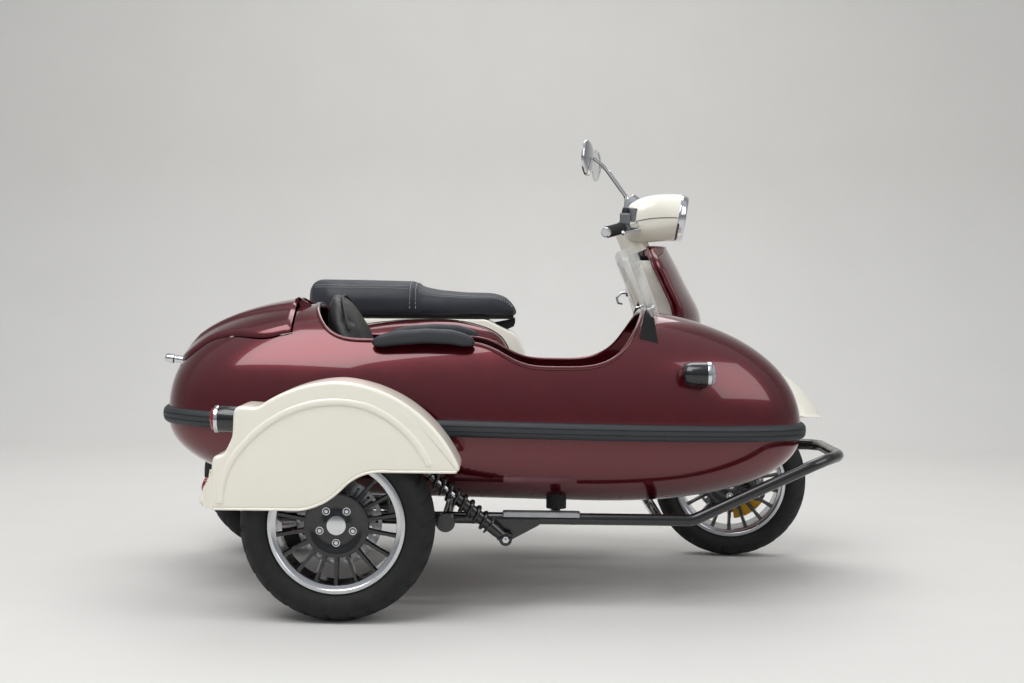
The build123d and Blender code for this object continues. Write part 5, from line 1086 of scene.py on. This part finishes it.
def spokes(centre, count=18):
    """Tapered bars from hub to barrel; each cross section is a trapezium that narrows outwards."""
    bars = []
    out = np.array([0, OUTER, 0])
    for n in range(count):
        a = 2 * np.pi * n / count + np.pi / 2
        radial = np.array([math.cos(a), 0, math.sin(a)])
        across = np.array([-math.sin(a), 0, math.cos(a)])
        rows = []
        for r, wide, rise in ((72.0, 8.0, 16.0), (95.0, 6.2, 13.0), (125.0, 5.6, 12.0), (148.0, 6.6, 14.0)):
            middle = np.asarray(centre, float) + radial * r + out * SPOKE_OUT
            low, high = middle + out * 1.0, middle + out * rise
            narrow = across * wide * 0.62
            rows.append([low - across * wide, low + across * wide, high + narrow, high - narrow])
        bars.append((np.array(rows), False, True, True))
    return bars


def from_axle(centre, radius, angle, along):
    """Point at a radius and an angle about the axle, moved along it."""
    return np.asarray(centre, float) + (radius * math.cos(angle), along, radius * math.sin(angle))


def wheel(name, centre, radius, width, nodes, steer=False):
    """Tyre, rim, cap, lug rings, nuts and valve on the body of the same name, and the disc if nodes names one."""
    tyre_node, rim_node, *disc_node = nodes
    axle, ride = (0, OUTER, 0), {"body": name, "steer": steer}
    tyre = [(tyre_grid(centre, radius, width), True, True, False)]
    make(name + "_tyre_tread", tyre, TYRE_RUBBER, tyre_node, smooth=30, **ride)
    rim = [turned(centre, axle, profile) for profile in (BARREL, INNER, HUB, BOSS)] + spokes(centre)
    make(name + "_rim_cast", rim, WHEEL_BLACK, rim_node, **ride)
    make(name + "_rim_lip", [turned(centre, axle, LIP, 128)], WHEEL_ALLOY, **ride)
    make(name + "_hub_cap", [turned(from_axle(centre, 0, 0, OUTER * 37), axle, CAP, 48)], CHROME, **ride)
    spots = [from_axle(centre, LUG_CIRCLE, -np.pi / 2 + 2 * np.pi * n / 5, OUTER * 36.2) for n in range(5)]
    make(name + "_lug_rings", [turned(spot, axle, LUG_RING, 32) for spot in spots], WHEEL_ALLOY, **ride)
    make(name + "_lug_nuts", [turned(spot, axle, LUG_NUT, 6) for spot in spots], CHROME, smooth=25, **ride)
    foot = from_axle(centre, 148, VALVE_ANGLE, OUTER * 30.0)
    inward = (-math.cos(VALVE_ANGLE), OUTER * 0.25, -math.sin(VALVE_ANGLE))
    make(name + "_valve", [turned(foot, inward, VALVE, 16)], BLACK_RUBBER, **ride)
    for node in disc_node:
        middle = from_axle(centre, 0, 0, DISC_ALONG)
        disc = piece(name + "_disc", [(placed(turned_grid(middle, (0, 1, 0), DISC, 144), steer), True, False, False)])
        spots = [from_axle(middle, r, math.radians(20 * n + shift), -3) for n in range(18) for r, shift in DRILL_RINGS]
        drills = [(placed(turned_grid(spot, (0, 1, 0), DRILL, 12), steer), True, False, False) for spot in spots]
        cut(disc, piece(name + "_drill", drills))
        settle(disc, STEEL, node, body=name)


FRONT_AXLE = (1372.0, 0.0, 229.4)
wheel("sidecar_wheel", (283.0, -957.0, 236.4), 236.4, 120.0, ("sidecar_tyre", "sidecar_rim", "sidecar_brake_disc"))
wheel("front_wheel", FRONT_AXLE, 229.4, 110.0, ("front_tyre", "front_rim", "front_brake_disc"), steer=True)
wheel("rear_wheel", (0.0, 0.0, 236.4), 236.4, 120.0, ("rear_tyre", "rear_rim"))

# %% [markdown]
# The leg shield is a pressed sheet, widest at knee height and wrapped back at both edges. At each height
# its x falls off with the square of y from the middle to the edge, and the three sizes between heights
# follow a smooth curve. Its sides turn back in a flange, and its edge carries a rolled bead.

# %% Leg shield
# Rows of height, x in the middle, x at the edge and half width.
SHIELD = np.array([(300.6, 1062, 1052, 180), (400, 1082, 1062, 192), (480, 1122, 1082, 202), (560, 1192, 1114, 210),
                   (640, 1262, 1158, 216), (727, 1272, 1196, 215), (830, 1222, 1160, 208), (900, 1186, 1128,
                                                                                            182), (936, 1166, 1116,
                                                                                                   128)], float)


def smooth_rows(table, at):
    """Cubic through the rows of a table: Hermite pieces whose slopes are those of the neighbouring rows."""
    z, values = table[:, 0], table[:, 1:]
    slope = np.gradient(values, z, axis=0)
    n = np.clip(np.searchsorted(z, at) - 1, 0, len(z) - 2)
    h = (z[n + 1] - z[n])[:, None]
    t = ((at - z[n]) / h[:, 0])[:, None]
    return ((2 * t**3 - 3 * t**2 + 1) * values[n] + (t**3 - 2 * t**2 + t) * h * slope[n]
            + (3 * t**2 - 2 * t**3) * values[n + 1] + (t**3 - t**2) * h * slope[n + 1])


def shield_x(y, z):
    """Front of the shield: middle - (middle - edge) (y / half)^2 at each height."""
    z = np.asarray(z, float)
    rows = smooth_rows(SHIELD, np.clip(z.ravel(), 300.7, 935.9))
    middle, edge, half = (rows[:, n].reshape(z.shape) for n in range(3))
    return middle - (middle - edge) * np.clip(np.abs(y) / half, 0, 1) ** 2


z = np.concatenate([np.linspace(300.7, 890, 50), np.linspace(893, 935.8, 18)])
rows = smooth_rows(SHIELD, z)
share = np.linspace(-1, 1, 57)[None, :]
y = rows[:, 2:3] * share
face = xyz(rows[:, 0:1] - (rows[:, 0:1] - rows[:, 1:2]) * share**2, y, z[:, None])
turn = np.linspace(0.12, 1.0, 9)
deep = 24.0 * np.interp(z, (560, 660, 880, 936), (0.15, 1.0, 1.0, 0.6))[:, None]
flange = []
for column, out in ((face[:, -1], 1), (face[:, 0], -1)):
    bulge = out * 3.0 * np.sin(turn * np.pi) - out * 8.0 * turn**2
    flange.append(xyz(column[:, 0:1] - deep * turn, column[:, 1:2] + bulge, z[:, None]))
sheet = np.concatenate([flange[1][:, ::-1], face, flange[0]], 1)
shield = piece("leg_shield_pressing", [(home(sheet), False, False, False)], outward=False)
normal_x = sum(p.normal.x for p in shield.data.polygons)
thicken(shield, 0.006, -1.0 if normal_x > 0 else 1.0)
cut_closed(shield, "column_cutter", tube([(steer_x(480), 0, 480), (steer_x(700), 0, 700)], 33.0, 32))
settle(shield, BURGUNDY, "leg_shield")
edge_route = np.concatenate([sheet[:, 0], sheet[-1, 1:-1], sheet[::-1, -1]]) - (3.0, 0, 0)
make("shield_edge_bead", [tube(edge_route, 4.2, 10)], BURGUNDY)

# %% [markdown]
# The inner panel behind the shield boxes in the steering column. Its rear face is bowed, and its flanks
# run forward to the back of the shield. Each flank has a dark slot, and a bag hook sits on the rear face.

# %% Inner panel
# Rows of height, x at the edges, half width and x in the middle.
PANEL_ROWS = np.array([(662, 1145, 150, 1096), (727, 1166, 154, 1072), (830, 1130, 148, 1042),
                       (880, 1104, 128, 1037), (897, 1096, 108, 1035)], float)
z = np.linspace(662.0, 896.8, 50)
rows = smooth_rows(PANEL_ROWS, z)
share = np.linspace(-1, 1, 41)[None, :]
y = rows[:, 1:2] * share
bowed = rows[:, 2:3] + (rows[:, 0:1] - rows[:, 2:3]) * np.abs(share) ** 2.4
zz = np.broadcast_to(z[:, None], y.shape)
front = shield_x(y, zz) - 8.5
ring = np.concatenate([xyz(bowed, y, zz), xyz(np.maximum(front, bowed + 2), y, zz)[:, ::-1]], 1)
make("column_cover", [(ring, False, True, True)], CREAM, "inner_panel")
slot_z = np.linspace(778, 852, 14)
slot_rows = smooth_rows(PANEL_ROWS, slot_z)
slot_routes = [xyz(slot_rows[:, 0] + 16.0, side * (slot_rows[:, 1] + 0.2), slot_z) for side in (-1, 1)]
make("column_slots", [tube(route, 5.5, 16) for route in slot_routes], BLACK_PLASTIC)
hook = [(1052, 0, 800), (1030, 0, 798), (1018, 0, 784), (1022, 0, 768), (1036, 0, 766)]
rose = [(-6, 0.1), (-6, 13), (0, 13), (2, 11), (2.4, 0.1)]
make("bag_hook", [tube(rounded_route(hook, 5.0), 4.0, 14), turned((1046, 0, 800), (-1, 0, 0), rose, 32)], CHROME)

# A low tunnel on the back of the shield covers the two frame rails down to the floor. Its depth at y
# is d (1 - |y / half|^3), so it runs out flat into the shield.
z = np.linspace(302.0, 672.0, 40)[:, None]
half = np.interp(z, (302, 440, 672), (112, 86, 62))
share = np.linspace(-1, 1, 33)[None, :]
y = half * share
depth = np.interp(z, (302, 440, 600, 672), (44, 48, 52, 40)) * (1 - np.abs(share) ** 3)
tunnel = xyz(shield_x(y, z + 0 * y) - 7.0 - depth, y, z)
make("shield_tunnel", [(tunnel, False, False, False)], BURGUNDY)

# %% [markdown]
# The front mudguard is a deep pressed arch. A section across the wheel, with straight sides, round
# shoulders and a low crown, is turned about a point below the wheel's top. Its lower edge is level,
# so points that would fall under it are lifted to it, and its back ends against the shield.

# %% Front mudguard
GUARD_HALF, GUARD_R, GUARD_LOW_R = 118.0, 366.0, 120.0
GUARD_X, GUARD_Z, GUARD_EDGE_UP, GUARD_TIP_X = 1325.0, 250.0, 187.0, 1628.0


def guard_sheet(phis=110):
    """Section (radius, y) turned about (GUARD_X, GUARD_Z), each radius at least edge / sin phi."""
    flank = np.linspace(GUARD_LOW_R, GUARD_R - 72, 8)
    shoulder = arcs([(GUARD_R - 70, GUARD_HALF), (GUARD_R - 19, 0.72 * GUARD_HALF), (GUARD_R, 0),
                     (GUARD_R - 19, -0.72 * GUARD_HALF), (GUARD_R - 70, -GUARD_HALF)], 14)
    flanks = [np.stack([run, np.full(8, y)], -1) for run, y in ((flank, GUARD_HALF), (flank[::-1], -GUARD_HALF))]
    r, y = np.concatenate([flanks[0], shoulder, flanks[1]]).T[:, None, :]
    phi = np.radians(np.linspace(30.75, 149.0, phis))[:, None]
    r = np.maximum(r, GUARD_EDGE_UP / np.sin(phi))
    x, z = GUARD_X + r * np.cos(phi), GUARD_Z + r * np.sin(phi)
    y = np.broadcast_to(y, x.shape)
    return xyz(np.minimum(np.maximum(x, shield_x(y, z) - 2.0), GUARD_TIP_X), y, z)


guard_top = piece("front_mudguard_pressing", [(home(guard_sheet()), False, False, False)], outward=False)
sum_z = sum(p.normal.z * p.area for p in guard_top.data.polygons)
thicken(guard_top, 0.0035, -1.0 if sum_z > 0 else 1.0)
cut_closed(guard_top, "crown_cutter", tube([(steer_x(400), 0, 400), (steer_x(700), 0, 700)], 34.0, 32))
settle(guard_top, CREAM, "front_mudguard")
edge_x = np.linspace(1625.0, 1100.0, 60)[6:]
low_edges = [tube(xyz(edge_x, side * (GUARD_HALF - 1), GUARD_Z + GUARD_EDGE_UP + 2), 3.0, 10) for side in (1, -1)]
make("front_mudguard_hem", low_edges, CREAM)

# %% [markdown]
# The headset is one moulding round the handlebar: a small rounded back, a wide middle and a round mouth
# for the lamp. Each section is a superellipse on a leaning plane, and the sizes between the given
# sections follow the same smooth curve as the shield's.

# %% Headset, headlamp and dial
# Rows of share of the length, x, z, half width, half height, power and lean in degrees.
HEADSET = np.array([(0.0, 1036, 1003, 44, 34, 2.4, 0), (0.10, 1048, 1010, 68, 52, 2.6, 0),
                    (0.3, 1078, 1018, 80, 67, 2.8, 2),
                    (0.55, 1120, 1026, 82, 72, 2.8, 5), (0.8, 1162, 1029, 77, 73, 2.4, 9), (1.0, 1200.2, 1029, 72,
                                                                                            72, 2.0, 9)], float)


def headset_ring(share, around=64, grow=0.0):
    """Superellipse of the section at share of the length: half c^(2/p) across, tall s^(2/p) up its plane."""
    x, z, half, tall, power, pitch = smooth_rows(HEADSET, np.atleast_1d(float(share)))[0]
    t = full_turn(around)
    v = (tall + grow) * squared(np.sin(t), 2 / power)
    lean = math.radians(pitch)
    return xyz(x + v * math.sin(lean), (half + grow) * squared(np.cos(t), 2 / power), z + v * math.cos(lean))


rings = [headset_ring(share) for share in np.linspace(0.0, 1.0, 60) ** 1.2 * 0.9999]
nose = headset_ring(0.0)
centre = nose.mean(0)
back_cap = [centre + (nose - centre) * r - (4.0 * (1 - r**2), 0, 0) for r in (0.05, 0.4, 0.7, 0.9)]
STEER_AXIS = (-math.sin(RAKE), 0, math.cos(RAKE))
collar = turned((steer_x(922), 0, 922), STEER_AXIS, [(0, 16), (0, 40), (2, 42), (80, 42)], 64)
steered("headset_moulding", [(np.array(back_cap + rings), False, True, True), collar], CREAM, "headset")
seams = [[headset_ring(share, 4, 0.3)[n] for share in np.linspace(0.04, 0.985, 40)] for n in (0, 2)]
steered("headset_seam", [tube(line, 1.1, 8) for line in seams], BLACK_PLASTIC)

lean = math.radians(9.0)
lamp_axis = (math.cos(lean), 0, -math.sin(lean))
BEZEL = [(6.8, 71), (12, 72.0), (14, 71), (20, 69), (26, 67), (28.8, 63), (28.8, 59.5), (24, 58.5), (18, 58.3)]
GLASS = [(22.5, 0.1), (19.0, 58), (21.5, 58.4), (26, 50), (29.6, 32), (30.8, 0.1)]
BOWL = [(6.9, 0.1), (7.2, 12), (9, 30), (13, 46), (18.5, 57.8)]
for name, profile, look, *stands_for in (("headlamp_bezel", BEZEL, CHROME, "headlamp_rim"),
                                         ("headlamp_glass", GLASS, LAMP_GLASS, "headlamp_lens"),
                                         ("headlamp_bowl", BOWL, CHROME)):
    steered(name, [turned((1194.0, 0, 1029.0), lamp_axis, profile, 96)], look, *stands_for)
face_out = np.array([-0.86, 0, 0.51])
dial_centre = np.array([1072.0, 0, 1050.0]) + face_out * 24.0
dial_rim = [(-22, 38), (4, 40), (9, 39), (10.5, 37), (10.5, 35), (8, 34)]
steered("dial_ring", [turned(dial_centre, face_out, dial_rim, 64)], CHROME, "instrument")
steered("dial_plate", [turned(dial_centre, face_out, [(7.5, 0.1), (7.5, 34.5)], 64)], DIAL)


def dial_mark(degrees, lift, low, high, radius):
    """Thin bar over the dial, between two distances from its middle, at an angle from straight up."""
    a = math.radians(degrees)
    spoke = np.array([0, 1.0, 0]) * math.sin(a) + np.cross(face_out, (0, 1.0, 0)) * -1 * math.cos(a)
    return tube([dial_centre + face_out * lift + spoke * low, dial_centre + face_out * lift + spoke * high], radius, 6)


marks = [dial_mark(-120 + 30 * n, 8.2, 25, 31, 0.9) for n in range(9)] + [dial_mark(-100, 8.8, -4, 26, 0.8)]
steered("dial_marks", marks, DIAL_MARK)

# %% [markdown]
# The handlebar's two halves run out and down to soft grips. A grip is a turned profile with fine rings,
# the levers are flattened tapering blades with a ball at the tip, and the mirrors are shallow round
# shells on thin bent stems.

# %% Handlebar, grips, levers and mirrors
BAR = ((1080.0, 48.0, 1008.0), (1046.0, 210.0, 1000.0), (992.0, 345.0, 984.0))
WEIGHT = [(-13, 11), (-12, 14), (-4, 14.5), (-1, 13), (-0.1, 8), (-0.05, 0.1)]
CLAMP = [(0, 11.4), (0, 18), (1.5, 19.8), (20.5, 19.8), (22, 18), (22, 11.4)]
BALL = [(-7, 0.1), (-6, 4), (-3, 6.4), (0, 7), (3, 6.4), (6, 3), (7, 0.1)]
RESERVOIR = [(0, 0.1), (0, 12), (4, 14.5), (30, 14.5), (32, 15.5), (38, 15.5), (40, 13), (40.5, 0.1)]
STEM_FOOT = [(-0.2, 0.1), (-0.2, 10), (8, 9), (14, 7), (16, 5)]
MIRROR_SHELL = [(0, 0.1), (0.5, 16), (2.5, 34), (6, 46), (10, 51), (13.5, 52), (14, 50), (13.2, 48.6)]
MIRROR_TURN = math.radians(15)
pot = rounded_box((-15, -22), (15, 22), 6.0)
bars, grips, weights, levers, perches, chrome_bits, feet, glasses = ([] for _ in range(8))
for side in (-1, 1):
    inn, bend, end = (np.array((x, side * y, z)) for x, y, z in BAR)
    bars.append(tube(rounded_route([inn, bend, end], 60.0, 12), 11.0, 24))
    out = (end - bend) / np.linalg.norm(end - bend)
    reach = np.linalg.norm(end - bend)
    start = bend + out * reach * 0.22
    length = reach * 0.78 - 12.0
    along = np.linspace(0, length, 90)
    rings = 15.8 + 1.0 * (np.cos(2 * np.pi * along / 6.0) > 0.2)
    rings[:4], rings[-4:] = 16.8, 15.0
    grips.append(turned(start, out, [(0, 11.4)] + list(zip(along, rings)) + [(length, 11.4)], 40))
    weights.append(turned(end, out, WEIGHT, 32))
    perches.append(turned(bend + out * reach * 0.04, out, CLAMP, 40))
    mount = bend + out * reach * 0.1
    perch, box_mid, root = mount + (20, 0, -4), mount + (4, 0, 16), mount + (4, 0, 42.6)
    tip = bend + out * reach * 0.92 + (46, 0, -2)
    blade = rounded_route([perch, perch + (34, side * 18, 0), tip], 16.0, 10)
    levers.append(tube(blade, 6.4 - 1.6 * np.linspace(0, 1, len(blade)), 16, 0.75))
    levers.append(turned(tip, tip - perch, BALL, 24))
    perches.append(plate(pot + box_mid[:2], box_mid[2] - 4, box_mid[2] + 21, "z"))
    perches.append(turned(box_mid + (16, -side * 14, 2), (0.12, 0, 1), RESERVOIR, 36))
    chrome_bits.append(plate(pot * 1.03 + box_mid[:2], box_mid[2] + 21, box_mid[2] + 25.6, "z"))
    head = np.array([948.0, side * 300.0, 1195.0])
    stem = [root, root + (2, side * 2, 44), head + (34, -side * 26, -22), head + (6, -side * 4, -1)]
    chrome_bits.append(tube(rounded_route(stem, 20.0, 12), 5.0, 18))
    feet.append(turned(root, (0, 0, 1), STEM_FOOT, 24))
    view = (-math.cos(MIRROR_TURN), -side * math.sin(MIRROR_TURN), 0)
    chrome_bits.append(turned(head, view, MIRROR_SHELL, 72))
    glasses.append(turned(head, view, [(12.6, 0.1), (13.0, 48.8)], 72))
for name, sheets, look, *stands_for in (
    ("handlebar_tubes", bars, CHROME, "handlebar"), ("ribbed_grips", grips, BLACK_RUBBER, "grips"),
    ("bar_end_weights", weights, CHROME), ("lever_blades", levers, CHROME, "hand_controls"),
    ("lever_perches", perches, CONTROL_ALLOY), ("mirror_shells", chrome_bits, CHROME, "mirrors"),
    ("mirror_roots", feet, BLACK_PLASTIC), ("mirror_glasses", glasses, MIRROR),
):
    steered(name, sheets, look, *stands_for)

# %% [markdown]
# The fork is a column, a crown, two legs and short trailing links with their eyes. A small anodised
# caliper straddles the disc.

# %% Fork, links and caliper
CROWN_Z = 492
axle_x, _, axle_z = FRONT_AXLE
pivot_x, pivot_z = 1452, 206
legs = [tube([(steer_x(CROWN_Z), 0, CROWN_Z), (steer_x(945), 0, 945)], 14.9, 28)]
across_axis, up_axis = np.array([math.cos(RAKE), 0, math.sin(RAKE)]), np.array(STEER_AXIS)
base = np.array([steer_x(CROWN_Z), 0, CROWN_Z])
crown = [[base + across_axis * a + np.array([0, b, 0]) + up_axis * rise for a,
          b in rounded_box((-28, -97), (28, 97), 12.0)]
         for rise in (0, 2, 22, 24)]
legs.append((np.array(crown), False, True, True))
for side in (-1, 1):
    y = side * 84.0
    legs.append(tube([(steer_x(CROWN_Z) + 4, y, CROWN_Z + 6), (pivot_x, y, pivot_z)], 13.0, 24))
    legs.append(eye((pivot_x, y, pivot_z), 22.0, side))
    legs.append(tube([(pivot_x, y, pivot_z), (axle_x, y, axle_z)], 10.0, 20, 0.8))
    legs.append(eye((axle_x, y, axle_z), 20.0, side))
    legs.append(tube([(axle_x, side * 49.0, axle_z), (axle_x, y, axle_z)], 16.0, 24))
legs.append(tube([(axle_x, -84, axle_z), (axle_x, 84, axle_z)], 11.9, 24))
steered("fork_welded", legs, BLACK_PAINT, "fork")
bolt = [(-1, 0.1), (-1, 11), (4, 11), (6, 8), (6, 5), (9, 4), (9.4, 0.1)]
caps = [turned((x, side * 96.0, z), (0, side, 0), bolt, 6) for side in (-1, 1)
        for x, z in ((pivot_x, pivot_z), (axle_x, axle_z))]
sector = [from_axle(FRONT_AXLE, r, math.radians(degrees), 0)[[0, 2]]
          for r, angles in ((122, range(-82, -31, 5)), (80, range(-37, -83, -5))) for degrees in angles]
steered("brake_caliper", [plate(sector, 14.0, 24.2), plate(sector, 30.2, 43.0)], GOLD)
bridge = [tube([(1428, 20, 133), (1428, 84, 133)], 7.0, 16), tube([(1440, 84, 200), (1428, 84, 133)], 8.0, 16)]
steered("caliper_bridge", bridge, BLACK_PAINT)
steered("fork_bolts", caps, CHROME, smooth=25)

# %% [markdown]
# The rear body is the cream shell under the saddle. Its outline in the plane of symmetry is drawn with
# arcs, pulled straight across between its flanks, and its long edges are rounded over.

# %% Rear body and side panels
BODY_HALF, CAVITY_HALF = 138.0, 128.0
BODY = [(660, 300.6), (700, 380), (738, 500), (746, 600), (712, 672), (622, 716), (300, 716), (-60, 716), (-186, 660),
        (-232, 540), (-226, 462), (-60, 436), (120, 416), (300, 400), (540, 300.6)]
outline = rounded_outline(BODY, 46.0)
away = outline - outline.mean(0)
away /= np.linalg.norm(away, axis=1)[:, None]
rounding = [(0, 7), (1.2, 4), (4, 1.3), (9, 0)]
levels = [(-BODY_HALF + into, inset) for into, inset in rounding] + [(share * BODY_HALF, 0) for share in (-0.5, 0, 0.5)]
levels += [(BODY_HALF - into, inset) for into, inset in rounding[::-1]]
layers = [xyz((outline - away * inset)[:, 0], y, (outline - away * inset)[:, 1]) for y, inset in levels]
shell_body = piece("rear_body_shell", [(home(np.array(layers)), False, True, True)])
wheel_hole = [(275 * math.cos(t), 236.4 + 275 * math.sin(t)) for t in full_turn(64)]
drive_hole = [(0.0, 280.0), (690.0, 280.0), (640.0, 470.0), (0.0, 470.0)]
cut_closed(shell_body, "seat_opening", plate(rounded_box((311, -115), (629, 115), 36.0), 560.0, 740.0, "z"))
cut_closed(shell_body, "wheel_cavity", plate(wheel_hole, -CAVITY_HALF, CAVITY_HALF))
cut_closed(shell_body, "drive_cavity", plate(drive_hole, -CAVITY_HALF, CAVITY_HALF))
print("rear body faces:", len(shell_body.data.polygons))
settle(shell_body, CREAM, "rear_body")

# Each side panel swells out from the body in one egg-shaped bulge. Its layers follow the same outline,
# shrunk toward one point: the layer at share h of the bulge's height is scaled by 1 - 0.3 h^2.6.
PANEL = [(702, 560), (668, 664), (560, 708), (420, 713), (267, 698), (-20, 648), (-205, 505), (-208, 460), (-170, 432),
         (60, 380), (300, 353), (560, 365), (675, 440)]
PANEL_MIDDLE = np.array([240.0, 545.0])
PANEL_Y, PANEL_BULGE = 138.4, 80.0


def panel_outline(steps=10):
    """Closed curve through the panel's thirteen corners: uniform cubic pieces with central slopes."""
    knots = np.array(PANEL, float)
    slope = (np.roll(knots, -1, 0) - np.roll(knots, 1, 0)) / 2
    t = (np.arange(steps) / steps)[None, :, None]
    a, b, sa, sb = knots[:, None], np.roll(knots, -1, 0)[:, None], slope[:, None], np.roll(slope, -1, 0)[:, None]
    curve = (2 * t**3 - 3 * t**2 + 1) * a + (t**3 - 2 * t**2 + t) * sa + (3 * t**2 - 2 * t**3) * b + (t**3 - t**2) * sb
    return curve.reshape(-1, 2)


def panel_layer(y, scale):
    """Outline scaled about the panel's middle, as points at y."""
    x, z = (PANEL_MIDDLE + (rim - PANEL_MIDDLE) * scale).T
    return xyz(x, y, z)


rim = panel_outline()
heights = np.concatenate([[0], np.sin(np.linspace(0.04, 0.96, 22) * np.pi / 2), [1.0]])
for side, name in ((-1, "right_cowl"), (1, "left_cowl")):
    rows = [panel_layer(side * (PANEL_Y + PANEL_BULGE * h), 1 - 0.3 * h**2.6) for h in heights]
    centre = rows[-1].mean(0)
    for r in (0.93, 0.8, 0.6, 0.4, 0.2, 0.04):
        flat = centre + (rows[len(heights) - 1] - centre) * r
        flat[:, 1] = side * (PANEL_Y + PANEL_BULGE + 1.6 * (1 - r**2))
        rows.append(flat)
    make(name, [(np.array(rows), False, True, True)], BURGUNDY, "side_panels")
    seam = panel_layer(side * 140.5, 1.002)
    make(name + "_seam", [tube(np.concatenate([seam, seam[:1]]), 1.8, 8)], SEAM_RUBBER)

# %% [markdown]
# The saddle is one long cushion with two rows of stitches along each side and a double strap. Its cover
# is blown up and settled like the sidecar's pads. Plan and profile are lines through the given points.

# %% Scooter saddle
SADDLE_PLAN = np.array([(86, 20), (88, 60), (100, 106), (150, 140), (240, 149), (400, 150), (500, 139), (600, 117),
                        (660, 96), (695, 80), (712, 60), (719, 20)], float)
SADDLE_TOP = np.array([(86, 796), (100, 820), (118, 827.5), (240, 827), (388, 825), (412, 819), (432, 808), (480, 799),
                       (560, 793), (640, 792), (680, 781), (705, 758), (719, 734)], float)
PAN_Z, COVER_INSET = 727.2, 2.0


def saddle_size(x):
    """Half width and top of the cover at x, a little inside the solid's."""
    return [np.interp(x, *table.T) - COVER_INSET for table in (SADDLE_PLAN, SADDLE_TOP)]


def saddle_grid(rows=110, around=40):
    """Half y = half c^0.5 and z = pan + (top - pan) s^0.55 over half a turn, at stations that crowd at both ends."""
    x = 402.5 - 316.4 * np.cos(np.linspace(0.0, np.pi, rows))[:, None]
    half, top = saddle_size(x)
    a = np.linspace(0, np.pi, around)
    return xyz(x, half * squared(np.cos(a), 0.5), PAN_Z + (top - PAN_Z) * np.abs(np.sin(a)) ** 0.55)


saddle = piece("saddle_cover", [(home(saddle_grid()), False, True, True)])
puffed(saddle, voxel=0.008, pressure=2.0, cap=0.004)
settle(saddle, VINYL, "seat_cushion", body="seat")
cover = BVHTree.FromPolygons([v.co for v in saddle.data.vertices], [tuple(f.vertices) for f in saddle.data.polygons])


def laid(points, lift):
    """Each point moved to the nearest point of the cover, then lifted off it along the cover's normal."""
    nearest = [cover.find_nearest(Vector(point))[:2] for point in home(points)]
    spots, normals = np.array([[list(spot), list(normal)] for spot, normal in nearest]).transpose(1, 0, 2)
    return (spots + normals * lift / 1000.0) * 1000.0 + (MIDDLE_X, MIDDLE_Y, 0.0)


STITCH_ROWS, STRAPS = (0.86, 0.80), (396.0, 414.0)
stitches, straps = [], []
x = np.linspace(110, 700, 160)
half, top = saddle_size(x)
for share in STITCH_ROWS:
    rise = np.sin(np.arccos(share**2)) ** 0.55
    for side in (-1, 1):
        line = laid(xyz(x, side * half * share, PAN_Z + (top - PAN_Z) * rise), 0.5)
        stitches += [tube(line[n:n + 2], 0.8, 6) for n in range(0, len(line) - 1, 2)]
a = np.linspace(0.04, np.pi - 0.04, 70)
y, z = 148.0 * squared(np.cos(a), 0.5), 729.0 + 96.0 * np.abs(np.sin(a)) ** 0.55
for at in STRAPS:
    band = [laid(xyz(at + dx, y, z), lift) for dx, lift in ((-7.5, -1.0), (-7.0, 2.0), (7.0, 2.0), (7.5, -1.0))]
    straps.append((np.array(band), True, False, False))
    seam = laid(xyz(at, y, z), 2.3)
    stitches += [tube(seam[n:n + 2], 0.7, 6) for n in range(0, 69, 2)]
make("saddle_stitching", stitches, SEAT_THREAD, body="seat")
make("saddle_straps", straps, VINYL, body="seat")

# %% [markdown]
# What stays mostly hidden keeps its constructed form: frame, floor, bucket, drive, silencer, rear mudguard,
# lamp, pan and stand. Only the drive and the lamp get softened edges.

# %% Hidden and plain pieces
for node, look, body, bevel_mm in (
    ("scooter_frame", BLACK_PAINT, "chassis", 0.0), ("floorboard", BLACK_PLASTIC, "chassis", 0.0),
    ("under_seat_bucket", BLACK_PLASTIC, "chassis", 0.0), ("engine", CAST_ALLOY, "chassis", 2.5),
    ("exhaust", BLACK_PAINT, "chassis", 0.0), ("rear_mudguard", BLACK_PLASTIC, "chassis", 0.0),
    ("tail_lamp", RED_LENS, "chassis", 3.0), ("seat_pan", BLACK_PLASTIC, "seat", 0.0),
    ("centre_stand", BLACK_PAINT, "centre_stand", 0.0),
):
    copied(node, look, body, bevel_mm)
FLOOR_Z, RIB_STEP = 300.0, 35.0
mats = []
for y in -140.0 + RIB_STEP * np.arange(9):
    rib = rounded_outline([(640, y - 7), (1040, y - 7), (1040, y + 7), (640, y + 7)], 5.0)
    mats.append(plate(rib, FLOOR_Z, FLOOR_Z + 3.5, "z"))
make("floor_mat_ribs", mats, BLACK_RUBBER)

# %% [markdown]
# The last cell sets the colour view transform to Standard.

# %% Finish
bpy.context.scene.view_settings.view_transform = "Standard"
